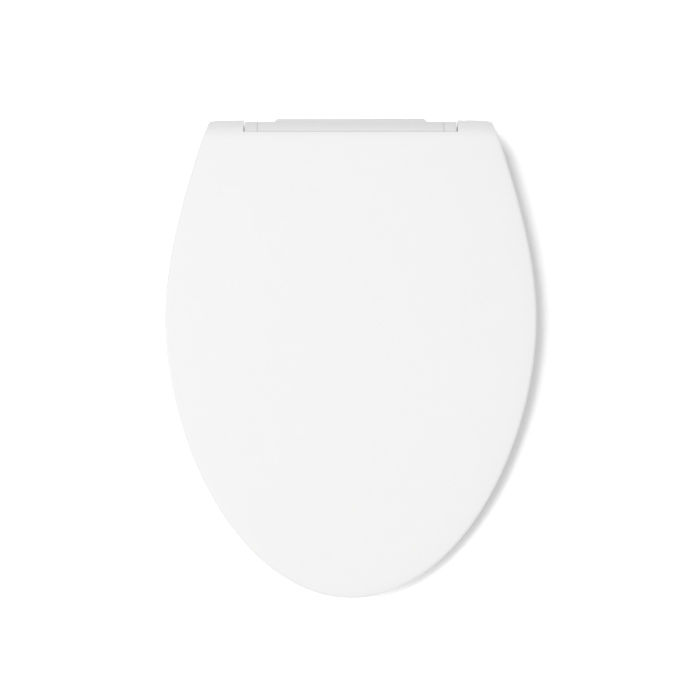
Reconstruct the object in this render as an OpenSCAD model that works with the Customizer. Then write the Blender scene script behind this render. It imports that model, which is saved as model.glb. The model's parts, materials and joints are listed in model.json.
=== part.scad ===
// Electric bidet seat for an elongated bowl: a lid and a heated seat on soft-close hinges,
// on a slim base that slides onto a plate bolted to the bowl.
// Origin: midway between the two bowl bolts, on the bowl's rim. +Y is the hinge end, +Z is up.

/* [Lid] */
// Greatest width of the lid
lid_w = 380; // [316:1:456]
// Distance from the hinge axis to the lid's front tip
lid_reach = 473; // [394:1:568]
// Distance from the hinge axis to the lid's widest line
widest_at = 189; // [160:1:215]
// How far the lid's rear corners stand outside the base
rear_over = 7; // [5:0.5:12]
// Wall of the lid
lid_wall = 3; // [2.4:0.1:3.6]
// Depth of the lid's edge, from its top face
lid_depth = 11.5; // [9:0.5:13]
// Rounding of the lid's top edge
lid_round = 3; // [1.5:0.5:5]

/* [Seat] */
// How far the seat's outline stands inside the lid's
seat_inset = 5; // [4.5:0.5:8]
// Wall of the seat's shells
seat_wall = 3; // [2:0.1:3.6]
// Depth of the seat's upper shell where it passes over the base
seat_depth = 19; // [17:1:20]
// Depth of the closed seat at its front tip
seat_front_t = 26; // [22:1:28]
// Depth of the closed seat just ahead of the base
seat_back_t = 41; // [36:1:46]
// Width of the seat's ring at its sides
side_band = 78; // [64:1:88]
// Width of the seat's ring at its front tip
front_band = 69; // [60:1:80]
// Distance between the base and the opening
opening_gap = 22; // [16:1:28]

/* [Hinge] */
// Height of the hinge axis above the bowl
hinge_z = 62; // [61:0.5:66]
// Distance of the hinge axis behind the bolts
hinge_y = 12; // [10:0.5:13]
// Slope of the closed seat and lid, down towards the front
pitch = 4.5; // [4:0.1:5]
// Radius of the hinge barrel
barrel_r = 15.5; // [15:0.1:17]
// Half the length of the hinge barrel
barrel_half = 95; // [88:1:98]
// Length of each of the seat's hinge rings
ring_l = 12.6; // [11:0.1:16]
// Radius of the hinge pins and damper shafts
pin_r = 4; // [3.5:0.1:5]

/* [Base] */
// Width of the base
base_w = 276; // [268:1:332]
// Front face of the base, ahead of the bolts
base_front = 90; // [88:1:92]
// Rear face of the base, behind the bolts
base_rear = 24; // [24:0.5:26]
// Wall of the base's two shells
base_wall = 2.5; // [2:0.1:3]
// Height of the joint between tray and cover
split_z = 18; // [17.5:0.1:19]
// Width of the low rear bulge behind the hinge barrel
bulge_w = 173; // [150:1:180]
// Rear face of the bulge, behind the bolts
bulge_rear = 31.8; // [30:0.2:34]

/* [Mounting plate] */
// Distance between the two bowl bolts
bolt_gap = 140; // [134:1:142]
// Width of each bolt slot
slot_w = 8.6; // [8.2:0.1:10]
// End-to-end length of each bolt slot
slot_l = 20; // [14:1:22]
// Half the width of the plate's foot
plate_half = 84; // [83:1:85]
// Thickness of the plate under a bolt's head
plate_t = 3.2; // [2.6:0.1:3.4]

/* [Wands] */
// Radius of each spray wand
wand_r = 4.5; // [4:0.1:4.8]
// Length of each spray wand
wand_l = 103; // [98:1:104]
// Travel of each spray wand
wand_travel = 76; // [60:1:76]
// Slope of the wands
wand_tilt = 15.5; // [14.5:0.5:15.5]
// Distance between the two wands
wand_gap = 18; // [17:0.5:20]
// Teeth on each drive pinion
pinion_teeth = 14; // [13:1:15]

/* [Controls] */
// Radius of a side key
key_r = 4.4; // [3.5:0.1:5]
// Travel of a side key
key_travel = 1.2; // [0.8:0.1:1.6]
// Travel of the release button
release_travel = 3; // [2:0.5:4]

/* [Fits] */
// Radial gap of a shaft or pin that turns in its hole
turn_gap = 0.06; // [0.03:0.01:0.1]
// Gap round a key or a wand in its guide
slide_gap = 0.25; // [0.2:0.05:0.4]
// Gap between faces that pass each other at the hinge
side_gap = 0.4; // [0.3:0.1:0.6]
// Gap between the lid's ears and the seat's rings
ear_gap = 1; // [0.6:0.1:1.4]
// Gap between pieces that are seated on each other
seat_gap = 0.1; // [0.05:0.05:0.2]

/* [Hidden] */

$fn = 48;
eps = 0.01;
big = 700;
through = 60;

// Lid: heights are measured from the hinge axis, square to the closed lid
lid_top = barrel_r + 1 + lid_wall;
lid_half = lid_w / 2;
front_len = lid_reach - widest_at;
front_power = 1.8;
side_bend = 61;
ear_rear = 17;
side_drop = lid_half - base_w / 2 - rear_over;
side_slope = sqrt(side_drop * (side_drop + 2 * side_bend)) / (ear_rear + widest_at);
ear_drop = 12;
notch_v = 5.4;
roll_r = lid_top;
roll_v = ear_rear - roll_r;
lid_bumper_r = 5;
LID_BUMPER_V = [-lid_reach / 4, -lid_reach * 0.845];
lid_bumper_share = 0.76;

// Seat heights, in the same way
seat_top = barrel_r - 5.5;
seat_low = seat_top - seat_depth;
lower_wall = 3;
ring_x0 = barrel_half + side_gap;
ring_x1 = ring_x0 + ring_l;
ear_x0 = ring_x1 + ear_gap;
seat_rear_v = -(barrel_r + 1.5);
seat_ear_v = -(roll_r - roll_v + 1.5);
bridge_v = -(base_front + hinge_y + 8);
wing_v = bridge_v - 22;
seat_deep = seat_top - seat_back_t - 10;
under_front = [-lid_reach - 10, seat_top - seat_front_t];
under_back = [wing_v, seat_top - seat_back_t];
opening_w = lid_w - 2 * (seat_inset + side_band);
opening_end = base_front + hinge_y + opening_gap;
opening_tip = lid_reach - seat_inset - front_band;
opening_at = opening_end + 0.393 * (opening_tip - opening_end);
opening_rear = opening_at - opening_end;
opening_front = opening_tip - opening_at;
bumper_r = 9;
SEAT_BUMPER_V = [wing_v - 38, -lid_reach * 0.8];
tang_w = pin_r * 1.4;
shaft_in = 34;
damper_l = 38;

// Base
base_half = base_w / 2;
base_corner = 14;
tray_z = 3;
cover_top = seat_low - lower_wall;
ear_floor = hinge_z - roll_r - 1.5;
neck_back = 13;
bulge_top = 47;
bulge_round = 7;
recess_half = plate_half + 11.5;
recess_front = 30;
recess_top = 9;
rail_out = 10;
rail_low = 5;
plate_top = recess_top - 1;
plate_front = 26;
plate_floor = 3.4;
pad_x0 = 10;
pad_x1 = plate_half - 6;
pad_d = 8;
pad_t = 1;
PAD_Y = [-24, 14];
boss_r = 4;
screw_r = 1.5;
foot_r = 9;
peg_r = foot_r - 4;
ear_shelf_y = seat_ear_v + hinge_y - 1.5;
lens_lip = 1.5;
light_x = -32;
light_z = 29;
light_r = 4;
blower_x = 64;
blower_r = 26;
blower_axle_r = 1.5;
blades = 16;
blade_l = 7;
BOSSES = [
    [-base_half + 14, -base_front + 12], [base_half - 14, -base_front + 6],
    [light_x, -base_front + 10], [blower_x - blower_r - 5, -base_front + 32],
    [-base_half + 20, base_rear - 8], [base_half - 20, base_rear - 8]
];
FEET = [
    [-base_half + 26, -base_front + 20], [base_half - 26, -base_front + 20],
    [-base_half + 22, base_rear - 16], [base_half - 22, base_rear - 16]
];

// Wands: y runs back along the wand from its port, z square to it
port_y = -base_front;
port_z = 13.5;
tooth_m = 0.8;
pressure = 20;
tooth_gap = 0.2;
pitch_r = tooth_m * pinion_teeth / 2;
rack_w = 4;
rack_base = wand_r + 0.7;
rack_pitch_z = wand_r + 1.7;
rack_tip = 0.55;
pinion_tip = 0.7;
pinion_y = 20;
pinion_z = rack_pitch_z + pitch_r;
tooth_pitch = PI * tooth_m;
motor_r = 8;
motor_l = 13;
axle_r = 1;
tip_l = 10;
spigot_r = wand_r - 1.2;
spray_bore_r = 1.4;
spray_r = 0.5;
spray_pitch = 1.8;

// Water parts on the left
inlet_r = 10.48;
inlet_neck_r = inlet_r - 2;
filter_r = 6;
filter_wall = 1.4;
inlet_y = -8;
inlet_z = 14;
inlet_out = 13;
valve_x = -base_half + 21;
valve_port_y = inlet_y - 24;
tank_lo = [-base_half + 14, -base_front + 4, 8];
tank_hi = [-40, -base_front + 40, 36];
tank_wall = 2;
tank_port_r = 4;
tank_port_l = 6;
tank_out_x = tank_hi[0] - 14;
tank_out_z = 24;
element_r = 3;
breaker_x = valve_x + 29;
breaker_y = -22;
breaker_top = ear_floor - 5;
diverter_x = tank_hi[0] - 22;
diverter_y0 = -40;
diverter_y1 = -20;
diverter_z = 23;
DIVERTER_PORTS = [-5.5, 5.5];
hose_r = 4.8;

// Air and power parts on the right
blower_y = -38;
blower_z0 = 18;
blower_z1 = 36;
duct_w = 16;
flap_x0 = blower_x - blower_r + 1;
flap_z0 = 22;
flap_z1 = 34;
flap_pin_r = 1.2;
board_x0 = base_half - 38;
board_x1 = base_half - 7;
board_y0 = -base_front + 12;
board_y1 = board_y0 + 44;
board_z = 8;
board_t = 1.6;
key_z = 28;
KEY_Y = [-base_front + 24, -base_front + 38, -base_front + 52];
ir_y = -24;
ir_r = 3;
gland_y = -24;
gland_z = 11.8;
gland_r = 4;
gland_wall = 2;
button_y = 2;
button_z = 10;
button_w = 16;
button_h = 8;

function smooth(t) = t * t * (3 - 2 * t);
function rear_half(v) =
    lid_half + side_bend - sqrt(pow(side_bend, 2) + pow(side_slope * (v + widest_at), 2));
function lid_half_at(v) =
    v > -widest_at ? rear_half(v) : lid_half * sqrt(1 - pow((-widest_at - v) / front_len, front_power));
function opening_half_at(v) =
    let (reach = v > -opening_at ? opening_rear : opening_front)
    opening_w / 2 * sqrt(max(0, 1 - pow((v + opening_at) / reach, 2)));
function front_v(a) = -widest_at - front_len * pow(sin(a), 2 / front_power);
function lid_side() = concat(
    [for (i = [0:11]) let (v = ear_rear - i * (ear_rear + widest_at) / 12) [rear_half(v), v]],
    [for (a = [0:5:85]) [lid_half * cos(a), front_v(a)]]
);
function mirrored(side) = [for (i = [len(side) - 1:-1:0]) [-side[i][0], side[i][1]]];
function lid_outline() = concat(lid_side(), [[0, -lid_reach]], mirrored(lid_side()));
function inward(pts, d) = [
    for (i = [0:len(pts) - 1])
        let (
            a = pts[(i + len(pts) - 1) % len(pts)],
            b = pts[(i + 1) % len(pts)],
            t = (b - a) / norm(b - a)
        )
        pts[i] + d * [t[1], -t[0]]
];
function opening_outline(grow) = [
    for (a = [0:6:354])
        [
            (opening_w / 2 + grow) * cos(a),
            -opening_at + (sin(a) > 0 ? opening_rear + grow : opening_front + grow) * sin(a)
        ]
];
function involute(r, rb) = tan(acos(rb / r)) * 180 / PI - acos(rb / r);
function flank(r, rb, half) = half + involute(pitch_r, rb) - (r > rb ? involute(r, rb) : 0);
function pinion_tooth() =
    let (
        rb = pitch_r * cos(pressure),
        half = (tooth_pitch / 2 - tooth_gap) / 2 / pitch_r * 180 / PI,
        tip = pitch_r + pinion_tip,
        rs = [pitch_r - rack_tip - 0.35, rb, (rb + pitch_r) / 2, pitch_r, (pitch_r + tip) / 2, tip]
    )
    concat(
        [for (i = [0:5]) [rs[i], -flank(rs[i], rb, half)]],
        [for (i = [5:-1:0]) [rs[i], flank(rs[i], rb, half)]]
    );
function rack_outline() =
    let (
        n = ceil((wand_travel + 2) / tooth_pitch),
        half = (tooth_pitch / 2 - tooth_gap) / 2,
        top = half - rack_tip * tan(pressure),
        root = half + (rack_pitch_z - rack_base) * tan(pressure)
    )
    concat(
        [[pinion_y - tooth_pitch * 1.5, wand_r - 1], [pinion_y - tooth_pitch * 1.5, rack_base]],
        [
            for (i = [-1:n])
                let (c = pinion_y + (i + 0.5) * tooth_pitch)
                each [
                    [c - root, rack_base],
                    [c - top, rack_pitch_z + rack_tip],
                    [c + top, rack_pitch_z + rack_tip],
                    [c + root, rack_base]
                ]
        ],
        [
            [pinion_y + (n + 1.2) * tooth_pitch, rack_base],
            [pinion_y + (n + 1.2) * tooth_pitch, wand_r - 1]
        ]
    );

module at_hinge() {
    translate([0, hinge_y, hinge_z]) rotate([pitch, 0, 0]) children();
}

module at_wand(x) {
    translate([x, port_y, port_z]) rotate([wand_tilt, 0, 0]) children();
}

module block(lo, hi) {
    translate(lo) cube(hi - lo);
}

module slab(pts, z0, z1) {
    translate([0, 0, z0]) linear_extrude(z1 - z0) polygon(pts);
}

module rod_x(r, x0, x1, y = 0, z = 0) {
    translate([x0, y, z]) rotate([0, 90, 0]) cylinder(r = r, h = x1 - x0);
}

module rod_y(r, y0, y1, x = 0, z = 0) {
    translate([x, y0, z]) rotate([-90, 0, 0]) cylinder(r = r, h = y1 - y0);
}

module rod_z(r, z0, z1, x = 0, y = 0) {
    translate([x, y, z0]) cylinder(r = r, h = z1 - z0);
}

module both_sides() {
    children();
    mirror([1, 0, 0]) children();
}

// Everything below a plane that is parallel to the closed seat, at height w from the hinge axis
module below_seat(w) {
    at_hinge() block([-big, -big, w - big], [big, big, w]);
}

module base_plan(inset, z0, z1) {
    r = base_corner - inset;
    x = base_half - base_corner;
    y0 = -base_front + base_corner;
    y1 = base_rear - base_corner;
    block([-x - r, y0, z0], [x + r, y1, z1]);
    block([-x, y0 - r, z0], [x, y1 + r, z1]);
    for (sx = [-x, x], sy = [y0, y1]) rod_z(r, z0, z1, sx, sy);
}

// Opening that each wand and its rack pass through
module wand_passage(gap) {
    for (x = [-wand_gap / 2, wand_gap / 2])
        at_wand(x) {
            rod_y(wand_r + gap, -8, 14);
            block([-rack_w / 2 - gap, -8, 0], [rack_w / 2 + gap, 14, rack_pitch_z + rack_tip + gap]);
        }
}

module mounting_plate() {
    slot_x0 = bolt_gap / 2 - slot_l / 2 + slot_w / 2;
    slot_x1 = bolt_gap / 2 + slot_l / 2 - slot_w / 2;
    color("gainsboro")
    difference() {
        union() {
            block([-plate_half, -plate_front, 0], [plate_half, base_rear, plate_top]);
            both_sides()
                block(
                    [plate_half - 1, -plate_front, rail_low],
                    [plate_half + rail_out, base_rear, plate_top]
                );
        }
        both_sides() {
            block([slot_x0 - slot_w / 2 - 4, -11, plate_t], [plate_half + rail_out + 1, 11, plate_top + 1]);
            for (x = [slot_x0, slot_x1]) rod_z(slot_w / 2, -1, plate_t + 1, x, 0);
            block([slot_x0, -slot_w / 2, -1], [slot_x1, slot_w / 2, plate_t + 1]);
            for (y = PAD_Y) block([pad_x0, y, -1], [pad_x1, y + pad_d, pad_t]);
            block([12, -20, plate_floor], [44, 18, plate_top + 1]);
        }
        block([-4, -20, plate_floor], [4, 18, plate_top + 1]);
    }
}

module plate_pads() {
    color("dimgray")
    both_sides() for (y = PAD_Y)
        block([pad_x0 + seat_gap, y + seat_gap, 0], [pad_x1 - seat_gap, y + pad_d - seat_gap, pad_t]);
}

module plate_recess() {
    block([-recess_half, -recess_front, -1], [recess_half, base_rear + 20, recess_top]);
}

module inlet_hole(gap) {
    rod_x(inlet_neck_r + gap, -base_half - 4, -base_half + 8, inlet_y, inlet_z);
}

module button_hole(gap) {
    block(
        [base_half - 8, button_y - button_w / 2 - gap, button_z - button_h / 2 - gap],
        [base_half + 4, button_y + button_w / 2 + gap, button_z + button_h / 2 + gap]
    );
}

module bosses(r, z0, z1) {
    for (p = BOSSES) rod_z(r, z0, z1, p[0], p[1]);
}

module base_tray() {
    color("white")
    difference() {
        union() {
            difference() {
                base_plan(0, tray_z, split_z);
                difference() {
                    base_plan(base_wall, tray_z + base_wall, split_z + 1);
                    block(
                        [-recess_half - base_wall, -recess_front - base_wall, 0],
                        [recess_half + base_wall, base_rear + 1, recess_top + base_wall]
                    );
                }
                plate_recess();
            }
            both_sides() block(
                [plate_half + 1, -recess_front - 1, tray_z],
                [recess_half + 1, base_rear - base_wall, rail_low - 0.6]
            );
            intersection() {
                bosses(boss_r, tray_z, split_z);
                base_plan(base_wall / 2, tray_z, split_z);
            }
        }
        bosses(screw_r + seat_gap, tray_z - 1, split_z + 1);
        bosses(screw_r + 1.5, tray_z - 1, tray_z + 1.8);
        for (p = FEET) rod_z(peg_r + seat_gap, tray_z - 1, tray_z + 1.4, p[0], p[1]);
        wand_passage(slide_gap * 2);
        inlet_hole(seat_gap);
        button_hole(slide_gap);
        rod_x(gland_r + gland_wall + seat_gap, base_half - 6, base_half + 4, gland_y, gland_z);
    }
}

module bulge_plan() {
    half = bulge_w / 2;
    steps = 8;
    shoulder = [for (i = [0:steps]) [half - 11.5 * i / steps, base_rear - 6 + (bulge_rear - base_rear + 6)
        * smooth(i / steps)]];
    polygon(concat([[half, hinge_y]], shoulder, mirrored(shoulder), [[-half, hinge_y]]));
}

module bulge() {
    intersection() {
        translate([0, 0, split_z]) linear_extrude(bulge_top - split_z) bulge_plan();
        union() {
            block([-big, 0, 0], [big, bulge_rear - bulge_round, bulge_top]);
            block([-big, 0, 0], [big, bulge_rear, bulge_top - bulge_round]);
            rod_x(bulge_round, -big, big, bulge_rear - bulge_round, bulge_top - bulge_round);
        }
    }
}

module base_cover() {
    color("white")
    difference() {
        union() {
            difference() {
                intersection() {
                    base_plan(0, split_z, hinge_z);
                    below_seat(cover_top);
                }
                both_sides() block([barrel_half, ear_shelf_y, ear_floor], [big, big, big]);
            }
            block(
                [-barrel_half, hinge_y - neck_back, split_z + 4],
                [barrel_half, hinge_y + neck_back, hinge_z]
            );
            bulge();
            rod_x(barrel_r, -barrel_half, barrel_half, hinge_y, hinge_z);
        }
        difference() {
            intersection() {
                base_plan(base_wall, split_z - 1, hinge_z);
                below_seat(cover_top - base_wall);
            }
            both_sides() block(
                [barrel_half - base_wall, ear_shelf_y - base_wall, ear_floor - base_wall],
                [big, big, big]
            );
            bosses(boss_r, split_z, hinge_z);
        }
        block(
            [-barrel_half + 40, hinge_y - neck_back + base_wall, split_z + 4],
            [barrel_half - 40, hinge_y + neck_back - base_wall, hinge_z]
        );
        block(
            [-bulge_w / 2 + 16, base_rear - base_wall - 1, split_z + 3],
            [bulge_w / 2 - 16, bulge_rear - base_wall, bulge_top - bulge_round]
        );
        rod_x(barrel_r - base_wall, -barrel_half - 1, barrel_half + 1, hinge_y, hinge_z);
        bosses(screw_r + seat_gap, split_z - 1, split_z + 10);
        wand_passage(slide_gap * 2);
        inlet_hole(seat_gap);
        block([flap_x0, -base_front - 1, flap_z0], [flap_x0 + duct_w, -base_front + 4, flap_z1]);
        for (y = KEY_Y) rod_x(key_r + slide_gap, base_half - 6, base_half + 4, y, key_z);
        rod_x(ir_r + seat_gap, base_half - 6, base_half + 4, ir_y, key_z);
        rod_y(light_r + seat_gap, -base_front - 1, -base_front + 6, light_x, light_z);
    }
}

module base_feet() {
    color("dimgray")
    for (p = FEET) {
        rod_z(foot_r, 0, tray_z, p[0], p[1]);
        rod_z(peg_r, tray_z - 1, tray_z + 1.3, p[0], p[1]);
    }
}

module case_screws() {
    color("silver")
    for (p = BOSSES) difference() {
        union() {
            rod_z(screw_r, tray_z + 0.4, split_z + 8, p[0], p[1]);
            rod_z(screw_r + 1.3, tray_z + 0.4, tray_z + 1.7, p[0], p[1]);
        }
        for (a = [0, 90]) translate([p[0], p[1], tray_z]) rotate(a) cube([2.4, 0.5, 1.8], center = true);
    }
}

module wand_cradle() {
    outer = wand_gap / 2 + wand_r + 3;
    color("lightgray")
    difference() {
        union() {
            at_wand(0) {
                block([-outer, 6, -wand_r - 1.8], [outer, 12, wand_r + 3.6]);
                block([-outer, 6, -wand_r - 1.8], [outer, 86, -1]);
            }
            block([-outer, -22, recess_top + base_wall], [outer, -16, 24]);
        }
        for (x = [-wand_gap / 2, wand_gap / 2]) at_wand(x) {
            rod_y(wand_r + slide_gap, -2, 120);
            block([-rack_w / 2 - slide_gap, -2, 0], [rack_w / 2 + slide_gap, 90, rack_pitch_z + rack_tip
                + slide_gap]);
        }
        at_wand(0) for (i = [0:4]) block([-1.5, 20 + 13 * i, -wand_r - 3], [1.5, 28 + 13 * i, 0]);
    }
}

module spray_wand(x) {
    at_wand(x) difference() {
        union() {
            rod_y(wand_r, tip_l, wand_l);
            translate([-rack_w / 2, 0, 0]) rotate([90, 0, 90])
                linear_extrude(rack_w) polygon(rack_outline());
        }
        rod_y(1.6, tip_l - 1, wand_l + 1, 0, -1.2);
        rod_y(spigot_r + seat_gap, tip_l - 1, tip_l + 4);
    }
}

module spray_tip(x, holes) {
    at_wand(x) difference() {
        union() {
            rod_y(wand_r, 0.5, tip_l - seat_gap);
            rod_y(spigot_r, tip_l / 2, tip_l + 3.5);
        }
        rod_y(spray_bore_r, tip_l - 4, tip_l + 5);
        for (i = [0:holes - 1]) rod_z(spray_r, 0, wand_r + 1, (i - (holes - 1) / 2) * spray_pitch, 7);
    }
}

module wash_wand() {
    color("gainsboro") spray_wand(-wand_gap / 2);
}

module wash_tip() {
    color("white") spray_tip(-wand_gap / 2, 1);
}

module bidet_wand() {
    color("gainsboro") spray_wand(wand_gap / 2);
}

module bidet_tip() {
    color("white") spray_tip(wand_gap / 2, 3);
}

module drive_pinion(x, side) {
    tooth = pinion_tooth();
    at_wand(x) translate([0, pinion_y, pinion_z]) {
        rotate([90, 0, 90]) translate([0, 0, -rack_w / 2]) linear_extrude(rack_w) polygon([
            for (k = [0:pinion_teeth - 1], p = tooth)
                let (a = -90 + k * 360 / pinion_teeth + p[1]) p[0] * [cos(a), sin(a)]
        ]);
        if (side > 0) rod_x(axle_r, 0, rack_w / 2 + 9);
        else rod_x(axle_r, -rack_w / 2 - 9, 0);
    }
}

module wash_pinion() {
    color("ivory") drive_pinion(-wand_gap / 2, -1);
}

module bidet_pinion() {
    color("ivory") drive_pinion(wand_gap / 2, 1);
}

module wand_motors() {
    x0 = wand_gap / 2 + wand_r + 0.8;
    color("silver")
    both_sides() at_wand(0) difference() {
        union() {
            rod_x(motor_r, x0, x0 + motor_l, pinion_y, pinion_z);
            block([x0, pinion_y - 3, -0.9], [x0 + 1, pinion_y + 3, pinion_z]);
            block([x0 + 3, pinion_y - 4, pinion_z - motor_r - 2], [x0 + 11, pinion_y + 4, pinion_z]);
        }
        rod_x(axle_r + turn_gap, x0 - 1, x0 + 10, pinion_y, pinion_z);
    }
}

module inlet_fitting() {
    color("silver")
    difference() {
        union() {
            rod_x(inlet_r, -base_half - inlet_out, -base_half - 1.5, inlet_y, inlet_z);
            rod_x(inlet_neck_r, -base_half - 2, valve_x - 9, inlet_y, inlet_z);
        }
        rod_x(filter_r, -base_half - inlet_out - 1, valve_x - 8, inlet_y, inlet_z);
    }
}

module inlet_filter() {
    color("steelblue")
    difference() {
        rod_x(filter_r - seat_gap, -base_half - 8, -base_half + 6, inlet_y, inlet_z);
        rod_x(filter_r - filter_wall, -base_half - 9, -base_half + 4.5, inlet_y, inlet_z);
    }
}

module solenoid_valve() {
    color("lightgray")
    difference() {
        union() {
            block([valve_x - 9, inlet_y - 11, 6], [valve_x + 9, inlet_y + 11, 23]);
            rod_y(5, valve_port_y, inlet_y - 10, valve_x, inlet_z);
        }
        rod_y(3, valve_port_y - 1, inlet_y, valve_x, inlet_z);
        rod_x(4, valve_x - 10, valve_x, inlet_y, inlet_z);
    }
}

module solenoid_coil() {
    color("goldenrod")
    difference() {
        union() {
            rod_z(8.5, 23, 35, valve_x, inlet_y);
            block([valve_x + 6, inlet_y - 4, 25], [valve_x + 12, inlet_y + 4, 31]);
        }
        rod_z(3, 24, 36, valve_x, inlet_y);
    }
}

module tank_ports(r, y0, y1) {
    rod_y(r, y0, y1, tank_out_x, tank_out_z);
    rod_y(r, y0, y1, valve_x, inlet_z);
}

module water_tank() {
    color("lightsteelblue")
    difference() {
        union() {
            block(tank_lo, tank_hi);
            rod_z(tank_port_r, tank_hi[2] - 2, tank_hi[2] + 1.5, tank_hi[0] - 30, tank_hi[1] - 10);
            tank_ports(tank_port_r, tank_hi[1] - 1, tank_hi[1] + tank_port_l);
        }
        block(tank_lo + tank_wall * [1, 1, 1], tank_hi - tank_wall * [1, 1, 1]);
        tank_ports(tank_port_r - 1.6, tank_hi[1] - tank_wall - 1, tank_hi[1] + tank_port_l + 1);
        rod_z(boss_r + 1, 0, hinge_z, BOSSES[0][0], BOSSES[0][1]);
    }
}

module tank_element() {
    x = tank_hi[0] - 6;
    y = (tank_lo[1] + tank_hi[1]) / 2;
    color("dimgray") {
        for (z = [tank_lo[2] + 7, tank_hi[2] - 9]) rod_x(element_r, tank_lo[0] + 12, x, y, z);
        rod_z(element_r, tank_lo[2] + 7, tank_hi[2] - 9, x, y);
    }
}

module thermal_cutout() {
    color("black")
    translate([tank_lo[0] + 28, tank_lo[1] + 20, tank_hi[2]]) {
        rod_z(8, 0, 2.5);
        for (x = [-5, 4]) block([x, -1, 2], [x + 1, 2, 3.6]);
    }
}

module vacuum_breaker() {
    color("white")
    difference() {
        union() {
            rod_z(8, recess_top + base_wall + 0.5, breaker_top - 4, breaker_x, breaker_y);
            rod_z(5, breaker_top - 5, breaker_top, breaker_x, breaker_y);
            rod_x(3.5, breaker_x, breaker_x + 13, breaker_y, 22);
        }
        rod_z(3, breaker_top - 6, breaker_top + 1, breaker_x, breaker_y);
        rod_x(2, breaker_x + 4, breaker_x + 14, breaker_y, 22);
    }
}

module diverter_valve() {
    mid_y = (diverter_y0 + diverter_y1) / 2;
    color("whitesmoke")
    difference() {
        union() {
            rod_y(9, diverter_y0, diverter_y1, diverter_x, diverter_z);
            for (z = DIVERTER_PORTS) rod_x(2.5, diverter_x + 5, diverter_x + 18, mid_y, diverter_z + z);
            rod_x(3.5, diverter_x - 12, diverter_x - 5, mid_y + 2, diverter_z - 1);
        }
        for (z = DIVERTER_PORTS) rod_x(1.4, diverter_x + 9, diverter_x + 19, mid_y, diverter_z + z);
        rod_x(2, diverter_x - 13, diverter_x - 7, mid_y + 2, diverter_z - 1);
    }
}

module diverter_motor() {
    color("silver") {
        rod_y(9.5, diverter_y1, diverter_y1 + 14, diverter_x, diverter_z);
        translate([diverter_x, diverter_y1, diverter_z]) block([-4, 2, 9], [4, 12, 11.5]);
    }
}

module inner_hoses() {
    color("lightblue") {
        y = tank_hi[1] + tank_port_l + seat_gap;
        rod_y(hose_r, y, valve_port_y - seat_gap, valve_x, inlet_z);
        rod_y(hose_r, y, diverter_y0 - seat_gap, tank_out_x, tank_out_z);
    }
}

module control_board() {
    color("darkgreen")
    difference() {
        block([board_x0, board_y0, board_z], [board_x1, board_y1, board_z + board_t]);
        for (x = [board_x0 + 3, board_x1 - 3], y = [board_y0 + 3, board_y1 - 3])
            rod_z(1.6, board_z - 1, board_z + board_t + 1, x, y);
    }
}

module board_parts() {
    color("black")
    translate([board_x0, board_y0, board_z + board_t]) {
        block([2, 8, 0], [16, 24, 13.4]);
        for (i = [0:2]) rod_z(3.4, 0, 10.4, 22, 8 + 9 * i);
        for (i = [0:3]) block([4, 28 + 3.6 * i, 0], [18, 29.6 + 3.6 * i, 14.4]);
        block([4, 28, 0], [18, 40.4, 1.6]);
        block([21, 32, 0], [28, 40, 6.4]);
    }
}

module power_gland() {
    color("dimgray")
    difference() {
        union() {
            rod_x(gland_r + gland_wall, base_half - 8, base_half + 2, gland_y, gland_z);
            rod_x(gland_r + 2 * gland_wall, base_half, base_half + 4, gland_y, gland_z);
        }
        rod_x(gland_r, base_half - 9, base_half + 5, gland_y, gland_z);
    }
}

module blower_housing() {
    color("darkslategray")
    difference() {
        union() {
            rod_z(blower_r, blower_z0, blower_z1, blower_x, blower_y);
            block(
                [blower_x - blower_r, -base_front + base_wall + 1, flap_z0 - 2],
                [blower_x - blower_r + duct_w + 2, blower_y, flap_z1 + 2]
            );
        }
        rod_z(blower_r - 2, blower_z0 + 2, blower_z1 - 2, blower_x, blower_y);
        block([flap_x0, -base_front - 1, flap_z0], [flap_x0 + duct_w, blower_y, flap_z1]);
        rod_z(12, blower_z1 - 3, blower_z1 + 1, blower_x, blower_y);
        rod_z(3, blower_z0 - 1, blower_z0 + 3, blower_x, blower_y);
    }
}

module blower_impeller() {
    r = blower_r - 5;
    color("dimgray")
    translate([blower_x, blower_y, 0]) {
        rod_z(r, blower_z0 + 3, blower_z0 + 4.5);
        rod_z(7, blower_z0 + 3, blower_z0 + 11);
        rod_z(blower_axle_r, blower_z0 - 4, blower_z0 + 4);
        for (k = [0:blades - 1]) rotate(k * 360 / blades)
            translate([r - blade_l, 0, blower_z0 + 4]) rotate(25) block([0, -0.5, 0], [blade_l, 0.5, 9]);
    }
}

module blower_motor() {
    color("silver")
    difference() {
        rod_z(15, recess_top + base_wall + 0.5, blower_z0, blower_x, blower_y);
        rod_z(blower_axle_r + turn_gap, blower_z0 - 5, blower_z0 + 1, blower_x, blower_y);
    }
}

module dryer_element() {
    color("goldenrod") {
        translate([flap_x0, -base_front + 10, flap_z0]) {
            block([2, 0, 1], [duct_w - 2, 20, 2]);
            for (i = [0:5]) block([2, 1 + 3.4 * i, 2], [duct_w - 2, 2 + 3.4 * i, 10]);
        }
    }
}

// A door hung from its top edge, in the mouth of the air duct
module dryer_flap() {
    y = -base_front + 1.6;
    z = flap_z1 - 0.4 - flap_pin_r;
    color("white") {
        rod_x(flap_pin_r, flap_x0 + 0.3, flap_x0 + duct_w - 0.3, y, z);
        block(
            [flap_x0 + 0.6, -base_front + 0.5, flap_z0 + 0.5],
            [flap_x0 + duct_w - 0.6, -base_front + 1.9, z]
        );
    }
}

module side_key(y) {
    x = base_half;
    rod_x(key_r, x - base_wall - 1, x + 1.5, y, key_z);
    rod_x(key_r + 1.2, x - base_wall - 1.5, x - base_wall - 0.3, y, key_z);
}

module wash_key() {
    color("gainsboro") side_key(KEY_Y[0]);
}

module bidet_key() {
    color("gainsboro") side_key(KEY_Y[1]);
}

module power_key() {
    color("gainsboro") side_key(KEY_Y[2]);
}

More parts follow.
